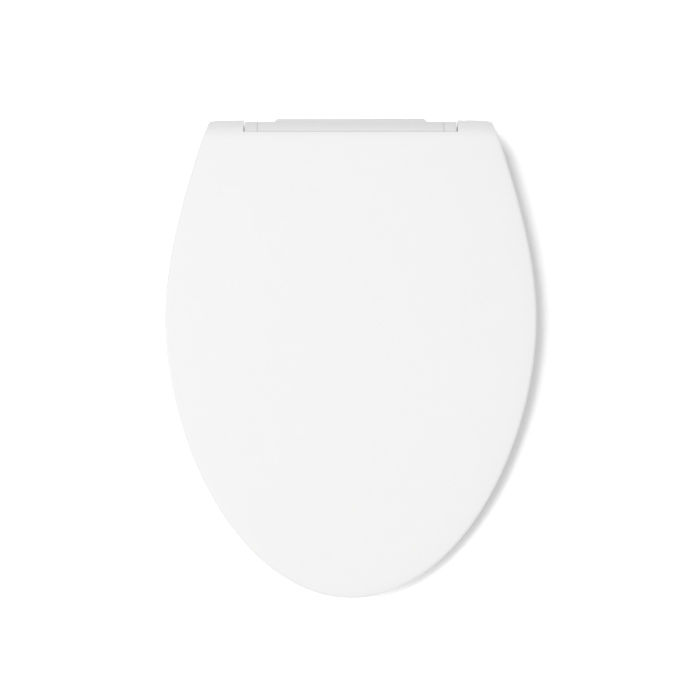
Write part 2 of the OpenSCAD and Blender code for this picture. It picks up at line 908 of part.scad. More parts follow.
module key_board() {
    x = base_half - base_wall - 1.5 - key_travel - 0.6;
    color("darkgreen") {
        block([x - 2.8, KEY_Y[0] - 8, key_z - 7], [x - 1.2, KEY_Y[2] + 8, key_z + 6]);
        for (y = KEY_Y) rod_x(2, x - 1.3, x, y, key_z);
    }
}

module ir_window() {
    color("black") {
        rod_x(ir_r, base_half - 4, base_half + 0.6, ir_y, key_z);
        rod_x(ir_r + lens_lip, base_half - 4, base_half - base_wall - seat_gap, ir_y, key_z);
    }
}

module night_light() {
    color("lightyellow") {
        rod_y(light_r, -base_front - 0.4, -base_front + 4, light_x, light_z);
        rod_y(light_r + lens_lip, -base_front + base_wall + seat_gap, -base_front + 4, light_x, light_z);
    }
}

// The button, its slider and the tooth above the plate's rail
module release_button() {
    x = base_half;
    color("gainsboro") {
        block(
            [x - base_wall - 1, button_y - button_w / 2, button_z - button_h / 2],
            [x + 1.4 + release_travel / 2, button_y + button_w / 2, button_z + button_h / 2]
        );
        translate([x - base_wall, button_y, button_z]) block([-3, -11, -4], [-1, 11, 6]);
        block([recess_half + 12, button_y - 4, 12.4], [x - base_wall - 2, button_y + 4, 15]);
    }
}

module release_spring() {
    x = base_half - base_wall - 3;
    color("silver")
    difference() {
        rod_x(3.4, recess_half + base_wall + 1, x - seat_gap, button_y, 9);
        rod_x(2.4, recess_half, x + 1, button_y, 9);
    }
}

// side is -1 on the left, 1 on the right
module damper(side) {
    x = barrel_half - damper_l;
    mirror([side < 0 ? 1 : 0, 0, 0]) difference() {
        rod_x(barrel_r - base_wall - seat_gap, x, barrel_half, hinge_y, hinge_z);
        rod_x(pin_r + turn_gap, barrel_half - shaft_in - 1, barrel_half + 1, hinge_y, hinge_z);
    }
}

module seat_damper() {
    color("dimgray") damper(-1);
}

module lid_damper() {
    color("dimgray") damper(1);
}

module tang(x0, x1, gap) {
    at_hinge() block([x0, -tang_w / 2 - gap, -tang_w / 2 - gap], [x1, tang_w / 2 + gap, tang_w / 2 + gap]);
}

module seat_damper_shaft() {
    color("silver")
    mirror([1, 0, 0]) {
        rod_x(pin_r, barrel_half - shaft_in, ring_x0, hinge_y, hinge_z);
        tang(ring_x0 - eps, ring_x0 + ring_l / 2 - 1, 0);
    }
}

module lid_damper_shaft() {
    color("silver") {
        rod_x(pin_r, barrel_half - shaft_in, ear_x0, hinge_y, hinge_z);
        tang(ear_x0 - eps, ear_x0 + 14, 0);
    }
}

module lid_pivot_pin() {
    color("silver") mirror([1, 0, 0])
        rod_x(pin_r, ring_x0 + ring_l / 2 + 0.5, ear_x0 + 20, hinge_y, hinge_z);
}

module seat_outline(inset, z0, z1) {
    slab(inward(lid_outline(), seat_inset + inset), z0, z1);
}

// Cuts away what lies behind the seat's rear edge, and behind the lid's ears
module seat_rear_cut(back) {
    block([-big, seat_rear_v - back, -through], [big, big, through]);
    both_sides() block([ring_x1 + 0.6 - back, seat_ear_v - back, -through], [big, big, through]);
}

// A shape drawn in the side view, right through the seat
module side_view(pts) {
    rotate([90, 0, 90]) translate([0, 0, -big / 2]) linear_extrude(big) polygon(pts);
}

module seat_upper_shell() {
    lift = [0, lower_wall];
    color("white")
    difference() {
        union() {
            at_hinge() difference() {
                intersection() {
                    hull() {
                        seat_outline(7, seat_top - 1, seat_top);
                        seat_outline(2, seat_top - 2.6, seat_top - 2);
                        seat_outline(0, seat_deep, seat_top - 7);
                    }
                    side_view([
                        [-big, big], [-big, under_front[1] + lower_wall], under_front + lift,
                        under_back + lift, [bridge_v, seat_low], [big, seat_low], [big, big]
                    ]);
                }
                difference() {
                    seat_outline(seat_wall, seat_deep - 1, seat_top - 7);
                    slab(opening_outline(seat_wall), -through, through);
                    seat_rear_cut(seat_wall);
                }
                difference() {
                    seat_outline(7, seat_top - 8, seat_top - seat_wall);
                    slab(opening_outline(seat_wall), -through, through);
                    seat_rear_cut(seat_wall);
                }
                slab(opening_outline(0), -through, through);
                seat_rear_cut(0);
            }
            both_sides() at_hinge()
                block([ring_x0, seat_rear_v - seat_wall, seat_low + 1], [ring_x1, 0, seat_top - 1]);
            both_sides() rod_x(barrel_r, ring_x0, ring_x1, hinge_y, hinge_z);
        }
        rod_x(pin_r + turn_gap, ring_x0 - 1, ring_x1 + 1, hinge_y, hinge_z);
        mirror([1, 0, 0]) {
            tang(ring_x0 - 1, ring_x0 + ring_l / 2 - 0.5, seat_gap / 2);
            rod_x(pin_r + turn_gap, ring_x0 + ring_l / 2 + 0.2, ring_x1 + 1, hinge_y, hinge_z);
        }
    }
}

// Closes the seat from below: a floor under the ring, a riser, and a raised floor over the base
module seat_lower_shell() {
    back = [bridge_v, seat_low - lower_wall];
    lift = [0, lower_wall];
    color("whitesmoke")
    at_hinge() difference() {
        union() {
            intersection() {
                seat_outline(seat_gap, seat_deep, seat_top - 7);
                side_view([
                    under_front, under_back, back, back + lift, under_back + lift, under_front + lift
                ]);
            }
            difference() {
                seat_outline(seat_wall + seat_gap, seat_low - lower_wall, seat_low + 7);
                block([-big, -big, -through], [big, bridge_v - lower_wall, through]);
                block([-big, bridge_v, -through], [big, big, seat_low + 7 - lower_wall]);
                seat_rear_cut(seat_wall + seat_gap);
            }
        }
        slab(opening_outline(seat_gap), -through, through);
    }
}

module seat_heater() {
    color("orange")
    at_hinge() difference() {
        seat_outline(18, seat_top - seat_wall - 1, seat_top - seat_wall - 0.2);
        slab(opening_outline(10), -through, through);
        block([-big, bridge_v, -through], [big, big, through]);
    }
}

module seat_bumpers() {
    color("gainsboro")
    intersection() {
        both_sides() for (v = SEAT_BUMPER_V)
            rod_z(bumper_r, 0, hinge_z, (lid_half_at(v) + opening_half_at(v)) / 2, v + hinge_y);
        at_hinge()
            side_view([[-big, -big], [-big, under_front[1]], under_front, under_back, [wing_v, -big]]);
    }
}

module roll_profile() {
    block([-big, -big, -ear_drop], [big, roll_v, lid_top]);
    rod_x(roll_r, -big, big, roll_v, 0);
}

module ear_blank() {
    intersection() {
        slab(lid_outline(), -ear_drop, lid_top);
        rod_x(roll_r, ear_x0, big, roll_v, 0);
    }
}

module lid_shell() {
    color("white")
    difference() {
        at_hinge() union() {
            difference() {
                intersection() {
                    hull() {
                        slab(inward(lid_outline(), lid_round), lid_top - eps, lid_top);
                        slab(inward(lid_outline(), lid_round * 0.3), lid_top - lid_round * 0.35, lid_top
                            - lid_round * 0.3);
                        slab(lid_outline(), lid_top - lid_depth, lid_top - lid_round);
                    }
                    roll_profile();
                }
                slab(inward(lid_outline(), lid_wall), -through, lid_top - lid_wall);
                block([-ear_x0, notch_v, -through], [ear_x0, big, through]);
            }
            both_sides() ear_blank();
        }
        tang(ear_x0 - 1, ear_x0 + 14.2, seat_gap / 2);
        mirror([1, 0, 0]) rod_x(pin_r + turn_gap / 2, ear_x0 - 1, ear_x0 + 20.2, hinge_y, hinge_z);
    }
}

module lid_bumpers() {
    color("gainsboro")
    at_hinge() both_sides() for (v = LID_BUMPER_V)
        rod_z(lid_bumper_r, seat_top + 0.2, lid_top - lid_wall, lid_bumper_share * lid_half_at(v), v);
}

mounting_plate();
plate_pads();
base_tray();
base_cover();
base_feet();
case_screws();
wand_cradle();
wash_wand();
wash_tip();
bidet_wand();
bidet_tip();
wash_pinion();
bidet_pinion();
wand_motors();
inlet_fitting();
inlet_filter();
solenoid_valve();
solenoid_coil();
water_tank();
tank_element();
thermal_cutout();
vacuum_breaker();
diverter_valve();
diverter_motor();
inner_hoses();
control_board();
board_parts();
power_gland();
blower_housing();
blower_impeller();
blower_motor();
dryer_element();
dryer_flap();
wash_key();
bidet_key();
power_key();
key_board();
ir_window();
night_light();
release_button();
release_spring();
seat_damper();
lid_damper();
seat_damper_shaft();
lid_damper_shaft();
lid_pivot_pin();
seat_upper_shell();
seat_lower_shell();
seat_heater();
seat_bumpers();
lid_shell();
lid_bumpers();
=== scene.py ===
import json
import math

import bmesh
import bpy
import numpy as np
from mathutils import Matrix, Vector

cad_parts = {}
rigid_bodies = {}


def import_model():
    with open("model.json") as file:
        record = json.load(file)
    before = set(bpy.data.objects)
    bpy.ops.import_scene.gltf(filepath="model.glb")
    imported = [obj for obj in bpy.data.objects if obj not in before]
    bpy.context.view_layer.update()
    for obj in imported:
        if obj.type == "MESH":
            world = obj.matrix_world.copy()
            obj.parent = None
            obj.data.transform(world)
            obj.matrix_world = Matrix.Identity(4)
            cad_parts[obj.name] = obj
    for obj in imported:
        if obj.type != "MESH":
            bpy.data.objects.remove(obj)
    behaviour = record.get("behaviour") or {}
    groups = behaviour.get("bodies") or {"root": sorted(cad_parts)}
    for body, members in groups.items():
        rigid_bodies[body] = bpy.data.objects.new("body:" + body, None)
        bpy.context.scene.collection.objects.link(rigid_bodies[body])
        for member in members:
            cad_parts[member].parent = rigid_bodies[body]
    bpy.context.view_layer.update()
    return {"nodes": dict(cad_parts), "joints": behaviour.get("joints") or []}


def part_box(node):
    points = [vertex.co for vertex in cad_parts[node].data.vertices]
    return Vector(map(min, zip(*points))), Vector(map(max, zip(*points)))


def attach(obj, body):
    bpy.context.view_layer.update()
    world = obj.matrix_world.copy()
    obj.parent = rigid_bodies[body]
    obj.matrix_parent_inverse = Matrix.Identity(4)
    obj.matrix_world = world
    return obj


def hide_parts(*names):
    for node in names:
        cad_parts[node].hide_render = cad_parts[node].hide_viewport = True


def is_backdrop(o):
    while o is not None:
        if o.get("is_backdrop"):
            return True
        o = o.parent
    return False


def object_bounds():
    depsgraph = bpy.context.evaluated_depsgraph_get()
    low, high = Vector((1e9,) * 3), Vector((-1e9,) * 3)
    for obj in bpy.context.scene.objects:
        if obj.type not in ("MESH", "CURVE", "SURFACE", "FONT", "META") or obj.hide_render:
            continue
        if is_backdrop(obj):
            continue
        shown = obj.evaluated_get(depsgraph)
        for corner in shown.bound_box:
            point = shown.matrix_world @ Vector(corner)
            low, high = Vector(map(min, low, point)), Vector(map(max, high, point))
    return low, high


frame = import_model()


# The bench: a plain white table top in an even white room, brighter from below than from above.
# A soft light from the front left falls on the seat alone, two more fall on the table alone and
# give it a narrow shadow, and a weak one at the left shines along the glossy edges.
TABLE_SIZE = 12.0
ROOM_LIGHT = 0.66
TABLE_GLOW = 1.0
HORIZON = 0.08
CAMERA_AIM = Vector((-0.0006, -0.2059, 0.062))
CAMERA_HEIGHT = 3.6
FIELD_WIDTH = 0.7155
LIGHT_AIM = Vector((0, -0.2, 0))

bpy.ops.object.select_all(action="DESELECT")
bpy.ops.mesh.primitive_plane_add(size=TABLE_SIZE)
table_top = bpy.context.object
table_top.name = "table_top"
table_white = bpy.data.materials.new("table_top")
table_white.use_nodes = True
table_shader = table_white.node_tree.nodes["Principled BSDF"]
table_shader.inputs["Base Color"].default_value = (0.98, 0.98, 0.98, 1)
table_shader.inputs["Roughness"].default_value = 0.9
table_shader.inputs["Specular IOR Level"].default_value = 0.0
table_top.data.materials.append(table_white)
table_top.visible_diffuse = False
table_top.visible_glossy = False
table_top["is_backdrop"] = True

room = bpy.data.worlds.new("studio")
room.use_nodes = True
room_nodes = room.node_tree.nodes
room_links = room.node_tree.links
way = room_nodes.new("ShaderNodeTexCoord")
way_parts = room_nodes.new("ShaderNodeSeparateXYZ")
glow = room_nodes.new("ShaderNodeMapRange")
glow.inputs["From Min"].default_value = -HORIZON
glow.inputs["From Max"].default_value = HORIZON
glow.inputs["To Min"].default_value = TABLE_GLOW
glow.inputs["To Max"].default_value = ROOM_LIGHT
room_links.new(way.outputs["Generated"], way_parts.inputs["Vector"])
room_links.new(way_parts.outputs["Z"], glow.inputs["Value"])
room_links.new(glow.outputs["Result"], room_nodes["Background"].inputs["Strength"])
room_nodes["Background"].inputs["Color"].default_value = (1, 1, 1, 1)
bpy.context.scene.world = room

table_only = bpy.data.collections.new("table_only")
table_only.objects.link(table_top)
all_but_table = bpy.data.collections.new("all_but_table")


def soft_light(name, spot, size, power, falls_on=None):
    """A round soft light. One that falls on chosen pieces only isn't seen in the gloss."""
    bpy.ops.object.light_add(type="AREA", location=spot)
    light = bpy.context.object
    light.name = name
    light.data.shape = "DISK"
    light.data.size = size
    light.data.energy = power
    if falls_on:
        light.visible_glossy = False
        light.light_linking.receiver_collection = falls_on
    light.rotation_mode = "QUATERNION"
    light.rotation_quaternion = (LIGHT_AIM - Vector(spot)).to_track_quat("-Z", "Y")


soft_light("front_left_light", (-0.32, -0.42, 2.40), 0.42, 24, all_but_table)
soft_light("table_light", (-0.22, 0.05, 2.40), 0.40, 18, table_only)
soft_light("table_fill", (-1.5, 0, 2.60), 3.0, 130, table_only)
soft_light("left_strip", (-2.4, -0.6, 0.8), 0.9, 5)

bpy.ops.object.camera_add(location=CAMERA_AIM + Vector((0, 0, CAMERA_HEIGHT)))
camera = bpy.context.object
camera.data.sensor_width = 36
camera.data.lens = camera.data.sensor_width * CAMERA_HEIGHT / FIELD_WIDTH
camera.data.clip_end = 50
bpy.context.scene.camera = camera
bpy.context.scene.view_settings.view_transform = "Standard"


# The mounting plate: a flat frame of grey glass-filled plastic. Two bolts clamp it to the bowl
# on strips of black rubber, and the whole seat slides onto its edges from the front.
def moulded_surface():
    """What the finishes share: a faint ripple from the mould, a slow drift of gloss and a fine
    grain. It is built once and given its own values in each finish."""
    group = bpy.data.node_groups.new("moulded_surface", "ShaderNodeTree")
    sockets = group.interface
    for name, start in (("Ripple Size", 60.0), ("Grain Size", 900.0), ("Grain", 0.5)):
        sockets.new_socket(name, in_out="INPUT", socket_type="NodeSocketFloat").default_value = start
    for name in ("Height", "Gloss Drift", "Shade Drift"):
        sockets.new_socket(name, in_out="OUTPUT", socket_type="NodeSocketFloat")
    nodes, links = group.nodes, group.links
    given = nodes.new("NodeGroupInput")
    out = nodes.new("NodeGroupOutput")
    spot = nodes.new("ShaderNodeTexCoord")
    ripple = nodes.new("ShaderNodeTexNoise")
    grain = nodes.new("ShaderNodeTexNoise")
    drift = nodes.new("ShaderNodeTexNoise")
    mixed = nodes.new("ShaderNodeMix")
    drift.inputs["Scale"].default_value = 9
    drift.inputs["Detail"].default_value = 4
    grain.inputs["Detail"].default_value = 1
    for texture in (ripple, grain, drift):
        links.new(spot.outputs["Object"], texture.inputs["Vector"])
    links.new(given.outputs["Ripple Size"], ripple.inputs["Scale"])
    links.new(given.outputs["Grain Size"], grain.inputs["Scale"])
    links.new(given.outputs["Grain"], mixed.inputs["Factor"])
    links.new(ripple.outputs["Fac"], mixed.inputs["A"])
    links.new(grain.outputs["Fac"], mixed.inputs["B"])
    links.new(mixed.outputs["Result"], out.inputs["Height"])
    links.new(drift.outputs["Fac"], out.inputs["Gloss Drift"])
    links.new(ripple.outputs["Fac"], out.inputs["Shade Drift"])
    return group


SURFACE = moulded_surface()


def finish(name, colour, shade, gloss, relief, ripple=60, grain_size=900, grain=0.5, metal=0.0,
           coat=0.0, clear=0.0, soft_edge=0.0):
    """A finish: its colour drifts towards shade, its roughness between the two values of gloss, and
    its surface by relief, in metres. A soft edge rounds the shading of sharp edges by that radius."""
    material = bpy.data.materials.new(name)
    material.use_nodes = True
    nodes, links = material.node_tree.nodes, material.node_tree.links
    shader = nodes["Principled BSDF"]
    surface = nodes.new("ShaderNodeGroup")
    surface.node_tree = SURFACE
    surface.inputs["Ripple Size"].default_value = ripple
    surface.inputs["Grain Size"].default_value = grain_size
    surface.inputs["Grain"].default_value = grain
    tint = nodes.new("ShaderNodeMix")
    tint.data_type = "RGBA"
    tint.inputs["A"].default_value = (*colour, 1)
    tint.inputs["B"].default_value = (*shade, 1)
    rough = nodes.new("ShaderNodeMapRange")
    rough.inputs["From Min"].default_value = 0.3
    rough.inputs["From Max"].default_value = 0.7
    rough.inputs["To Min"].default_value = gloss[0]
    rough.inputs["To Max"].default_value = gloss[1]
    bump = nodes.new("ShaderNodeBump")
    bump.inputs["Distance"].default_value = relief
    bump.inputs["Strength"].default_value = 1.0
    links.new(surface.outputs["Shade Drift"], tint.inputs["Factor"])
    links.new(tint.outputs["Result"], shader.inputs["Base Color"])
    links.new(surface.outputs["Gloss Drift"], rough.inputs["Value"])
    links.new(rough.outputs["Result"], shader.inputs["Roughness"])
    links.new(surface.outputs["Height"], bump.inputs["Height"])
    links.new(bump.outputs["Normal"], shader.inputs["Normal"])
    shader.inputs["Metallic"].default_value = metal
    shader.inputs["Coat Weight"].default_value = coat
    shader.inputs["Coat Roughness"].default_value = 0.06
    shader.inputs["Transmission Weight"].default_value = clear
    if soft_edge:
        edge = nodes.new("ShaderNodeBevel")
        edge.samples = 4
        edge.inputs["Radius"].default_value = soft_edge
        links.new(edge.outputs["Normal"], bump.inputs["Normal"])
    return material


def dress(material, *names):
    """Gives parts that keep their own shape the finish of what they are made of."""
    for name in names:
        for holder in frame["nodes"][name].material_slots:
            holder.material = material


GREY_PLASTIC = finish("grey_plastic", (0.36, 0.37, 0.38), (0.33, 0.34, 0.35), (0.45, 0.6), 0.00003,
                      grain_size=1600, grain=0.9, soft_edge=0.0004)
BLACK_RUBBER = finish("dark_rubber", (0.030, 0.030, 0.031), (0.04, 0.04, 0.04), (0.6, 0.8), 0.00005,
                      grain_size=1400, grain=0.9, soft_edge=0.0003)
dress(GREY_PLASTIC, "mounting_plate")
dress(BLACK_RUBBER, "plate_pads")


# The base's tray carries the works and closes the cover from below. It is moulded in satin white
# ABS, with a bay for the mounting plate and two rails that hook under the plate's edges.
MM = 0.001
BASE_HALF = 138 * MM
BASE_FRONT = -90 * MM
BASE_REAR = 24 * MM
BASE_CORNER = 14 * MM
BASE_WALL = 2.5 * MM
TRAY_LOW = 3 * MM
SEAM = 18 * MM
TRAY_EDGE = 2 * MM
SEAM_EDGE = 0.4 * MM
BAY_HALF = 95.5 * MM
BAY_FRONT = -30 * MM
BAY_TOP = 9 * MM
RAIL_INNER = 85 * MM
RAIL_OUTER = 96.5 * MM
RAIL_TOP = 4.4 * MM
PAST = 0.2
PORT = Vector((0, BASE_FRONT, 13.5 * MM))
WAND_TILT = math.radians(15.5)
WAND_R = 4.5 * MM
WAND_X = 9 * MM
WAND_ROOM = 0.5 * MM
BORE_START = -8 * MM
BORE_END = 14 * MM
INLET = Vector((-138, -8, 14)) * MM
INLET_HOLE_R = 8.6 * MM
GLAND = Vector((138, -24, 11.8)) * MM
GLAND_HOLE_R = 6.1 * MM
BUTTON = Vector((138, 2, 10)) * MM
BUTTON_ROOM = Vector((0, 8.25, 4.25)) * MM


def at(x, y, z):
    """A place given in millimetres."""
    return Vector((x, y, z)) * MM


def only(piece):
    bpy.ops.object.select_all(action="DESELECT")
    piece.select_set(True)
    bpy.context.view_layer.objects.active = piece
    return piece


def named(name):
    piece = bpy.context.object
    piece.name = name
    piece.data.name = name
    return piece


def editing(on):
    bpy.ops.object.mode_set(mode="EDIT" if on else "OBJECT")


def pick(kind, test):
    """Leaves selected only the faces or edges of the piece in edit mode that pass the test."""
    bpy.ops.mesh.select_mode(type=kind)
    bpy.ops.mesh.select_all(action="DESELECT")
    shape = bmesh.from_edit_mesh(bpy.context.object.data)
    for item in shape.faces if kind == "FACE" else shape.edges:
        if test(item):
            item.select_set(True)
    bmesh.update_edit_mesh(bpy.context.object.data)


def slab(name, outline, low, high):
    """A plate with the outline's shape in plan: a ring of points, filled and drawn upwards."""
    bpy.ops.object.select_all(action="DESELECT")
    bpy.ops.mesh.primitive_circle_add(vertices=len(outline), radius=1, fill_type="NGON")
    piece = named(name)
    for vertex, (x, y) in zip(piece.data.vertices, outline):
        vertex.co = (x, y, low)
    editing(True)
    bpy.ops.mesh.select_all(action="SELECT")
    bpy.ops.mesh.normals_make_consistent(inside=False)
    bpy.ops.mesh.extrude_region_move(TRANSFORM_OT_translate={"value": (0, 0, high - low)})
    bpy.ops.mesh.select_all(action="SELECT")
    bpy.ops.mesh.normals_make_consistent(inside=False)
    editing(False)
    return piece


def block(name, low, high):
    """A plain box between two corners, to be shaped further."""
    bpy.ops.object.select_all(action="DESELECT")
    low, high = Vector(low), Vector(high)
    bpy.ops.mesh.primitive_cube_add(size=1, location=(low + high) / 2, scale=high - low)
    bpy.ops.object.transform_apply()
    return named(name)


def rod(name, start, end, radius, sides=64):
    """A round bar between two points."""
    bpy.ops.object.select_all(action="DESELECT")
    start, end = Vector(start), Vector(end)
    turn = (end - start).to_track_quat("Z", "Y").to_euler()
    bpy.ops.mesh.primitive_cylinder_add(
        vertices=sides, radius=radius, depth=(end - start).length, location=(start + end) / 2,
        rotation=turn)
    bpy.ops.object.transform_apply()
    return named(name)


def carve(piece, *cutters):
    """Cuts the cutters out of the piece and removes them."""
    for cutter in cutters:
        only(piece)
        boolean = piece.modifiers.new("carve", "BOOLEAN")
        boolean.operation = "DIFFERENCE"
        boolean.solver = "EXACT"
        boolean.object = cutter
        bpy.ops.object.modifier_apply(modifier=boolean.name)
        bpy.data.objects.remove(cutter)
    return piece


def gather(name, *members):
    """Joins separate members into one piece."""
    only(members[0])
    for member in members:
        member.select_set(True)
    bpy.ops.object.join()
    return named(name)


def place(piece, body, material, node, angle=35):
    """Smooths a finished piece, gives it its finish and fixes it to its body in a CAD part's stead."""
    only(piece)
    bpy.ops.object.shade_smooth_by_angle(angle=math.radians(angle))
    piece.data.materials.clear()
    piece.data.materials.append(material)
    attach(piece, body)
    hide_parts(node)


def base_outline(inset, steps=9):
    """The base's outline in plan, with round corners."""
    points = []
    radius = BASE_CORNER - inset
    corners = ((1, BASE_REAR, 90), (1, BASE_FRONT, 0), (-1, BASE_FRONT, -90), (-1, BASE_REAR, -180))
    for side, y, start in corners:
        middle = Vector((side * (BASE_HALF - BASE_CORNER), y + math.copysign(BASE_CORNER, -y)))
        for k in range(steps + 1):
            a = math.radians(start - 90 * k / steps)
            points.append(middle + radius * Vector((math.cos(a), math.sin(a))))
    return points


def wand_line(name, x, start, end, radius):
    """A round bar along a spray wand's path, measured back from its port."""
    tilt = Matrix.Rotation(WAND_TILT, 3, "X")
    return rod(name, PORT + tilt @ Vector((x, start, 0)), PORT + tilt @ Vector((x, end, 0)), radius)


def wand_bore(side):
    """The hole that one spray wand slides through."""
    return wand_line("bore", side * WAND_X, BORE_START, BORE_END, WAND_R + WAND_ROOM)


def inlet_bore():
    """The hole round the water inlet, half in the tray and half in the cover."""
    return rod("bore", INLET - at(6, 0, 0), INLET + at(9, 0, 0), INLET_HOLE_R)


tray = slab("tray", base_outline(0), TRAY_LOW, SEAM)
editing(True)
pick("EDGE", lambda e: max(v.co.z for v in e.verts) < TRAY_LOW + 0.1 * MM)
bpy.ops.mesh.bevel(offset=TRAY_EDGE, segments=5, affect="EDGES")
pick("EDGE", lambda e: min(v.co.z for v in e.verts) > SEAM - 0.1 * MM)
bpy.ops.mesh.bevel(offset=SEAM_EDGE, segments=2, affect="EDGES")
editing(False)
hollow = slab("hollow", base_outline(BASE_WALL), TRAY_LOW + BASE_WALL, SEAM + MM)
bay_wall_low = (-BAY_HALF - BASE_WALL, BAY_FRONT - BASE_WALL, 0)
bay_wall_high = (BAY_HALF + BASE_WALL, PAST / 2, BAY_TOP + BASE_WALL)
carve(hollow, block("bay_wall", bay_wall_low, bay_wall_high))
carve(
    tray,
    hollow,
    block("bay", (-BAY_HALF, BAY_FRONT, -MM), (BAY_HALF, PAST / 2, BAY_TOP)),
    wand_bore(-1),
    wand_bore(1),
    inlet_bore(),
    rod("bore", GLAND - at(9, 0, 0), GLAND + at(6, 0, 0), GLAND_HOLE_R),
    block("mouth", BUTTON - BUTTON_ROOM - at(9, 0, 0), BUTTON + BUTTON_ROOM + at(6, 0, 0)))
rails = []
for side in (-1, 1):
    low, high = sorted((side * RAIL_INNER, side * RAIL_OUTER))
    rails.append(block("rail", (low, BAY_FRONT - MM, TRAY_LOW), (high, BASE_REAR - BASE_WALL, RAIL_TOP)))
tray = gather("tray", tray, *rails)
WHITE_SATIN = finish("white_satin", (0.80, 0.80, 0.795), (0.78, 0.78, 0.77), (0.38, 0.52), 0.00002,
                     grain_size=1400, grain=0.9, soft_edge=0.0004)
place(tray, "base", WHITE_SATIN, "base_tray")


# Four black rubber feet are pushed into the tray's corners and stand on the bowl's rim. Each is
# a low round block with a rounded rim and a shallow cup underneath that grips the glaze.
FOOT_R = 8.9 * MM
FOOT_TOP = 2.95 * MM
FRONT_FOOT = Vector((112, -70, 0)) * MM
REAR_FOOT = Vector((116, 8, 0)) * MM


def soften(piece, width, steps=3, angle=40):
    """Rounds every edge that is sharper than the angle."""
    only(piece)
    bevel = piece.modifiers.new("soften", "BEVEL")
    bevel.width = width
    bevel.segments = steps
    bevel.limit_method = "ANGLE"
    bevel.angle_limit = math.radians(angle)
    bevel.use_clamp_overlap = True
    bevel.harden_normals = False
    bpy.ops.object.modifier_apply(modifier=bevel.name)
    return piece


def copies(piece, *moves):
    """A piece with a copy of it for each move, each copy with its own mesh."""
    made = [piece]
    for move in moves:
        only(piece)
        bpy.ops.object.duplicate()
        bpy.ops.transform.translate(value=move)
        bpy.ops.object.transform_apply()
        made.append(bpy.context.object)
    return made


foot = soften(rod("foot", FRONT_FOOT, FRONT_FOOT + Vector((0, 0, FOOT_TOP)), FOOT_R), 0.8 * MM, 4)
editing(True)
pick("FACE", lambda f: f.normal.z < -0.99)
bpy.ops.mesh.inset(thickness=1.6 * MM, depth=0)
bpy.ops.mesh.inset(thickness=0.3 * MM, depth=-0.4 * MM)
editing(False)
to_left = Vector((-2 * FRONT_FOOT.x, 0, 0))
to_rear = REAR_FOOT - FRONT_FOOT
to_rear_left = to_rear + Vector((-2 * REAR_FOOT.x, 0, 0))
feet = copies(foot, to_left, to_rear, to_rear_left)
place(gather("feet", *feet), "base", BLACK_RUBBER, "base_feet")


# The works inside keep their own shapes and get the finish of what they are made of: steel,
# wound copper, acetal, milky tank plastic and hose, green circuit board and black parts.
DARK_PLASTIC = finish("dark_plastic", (0.020, 0.020, 0.022), (0.028, 0.028, 0.030), (0.35, 0.55), 0.00003,
                      grain_size=1600, grain=0.9, soft_edge=0.0003)
STEEL = finish("steel", (0.56, 0.56, 0.57), (0.50, 0.50, 0.51), (0.29, 0.40), 0.00002,
               grain_size=1500, grain=0.8, metal=1.0, soft_edge=0.0002)
COPPER = finish("copper_coil", (0.70, 0.34, 0.15), (0.58, 0.26, 0.11), (0.28, 0.42), 0.00006,
                ripple=700, grain=0.2, metal=1.0, soft_edge=0.0002)
ACETAL = finish("ivory_nylon", (0.74, 0.70, 0.58), (0.70, 0.66, 0.54), (0.35, 0.48), 0.00002,
                grain_size=1600, grain=0.8, soft_edge=0.0002)
TANK_MILKY = finish("tank_plastic", (0.66, 0.69, 0.72), (0.62, 0.65, 0.69), (0.30, 0.42), 0.00002,
                    grain=0.3, clear=0.25, soft_edge=0.0005)
HOSE_MILKY = finish("hose_clear", (0.66, 0.70, 0.74), (0.62, 0.67, 0.72), (0.30, 0.45), 0.00002,
                    grain=0.5, clear=0.35, soft_edge=0.0002)
FILTER_BLUE = finish("filter_mesh", (0.05, 0.14, 0.34), (0.04, 0.11, 0.28), (0.40, 0.55), 0.0001,
                     ripple=1800, grain=0.1, soft_edge=0.0002)
CHIP_BLACK = finish("board_black", (0.018, 0.018, 0.019), (0.026, 0.026, 0.027), (0.35, 0.55), 0.00004,
                    grain_size=2200, grain=0.9, soft_edge=0.0002)


def tracked(name, ground, line, spacing, width, metal):
    """A finish with parallel tracks: the board's copper lines, or the heater's wire on its foil."""
    material = finish(name, ground, ground, (0.35, 0.5), 0.00001, soft_edge=0.0002)
    nodes, links = material.node_tree.nodes, material.node_tree.links
    shader = nodes["Principled BSDF"]
    spot = nodes.new("ShaderNodeTexCoord")
    wave = nodes.new("ShaderNodeTexWave")
    wave.bands_direction = "X"
    wave.inputs["Scale"].default_value = spacing
    wave.inputs["Distortion"].default_value = 1.2
    cut = nodes.new("ShaderNodeMath")
    cut.operation = "GREATER_THAN"
    cut.inputs[1].default_value = 1 - width
    tint = nodes.new("ShaderNodeMix")
    tint.data_type = "RGBA"
    tint.inputs["A"].default_value = (*ground, 1)
    tint.inputs["B"].default_value = (*line, 1)
    links.new(spot.outputs["Object"], wave.inputs["Vector"])
    links.new(wave.outputs["Fac"], cut.inputs[0])
    links.new(cut.outputs["Value"], tint.inputs["Factor"])
    links.new(tint.outputs["Result"], shader.inputs["Base Color"])
    shader.inputs["Metallic"].default_value = metal
    return material


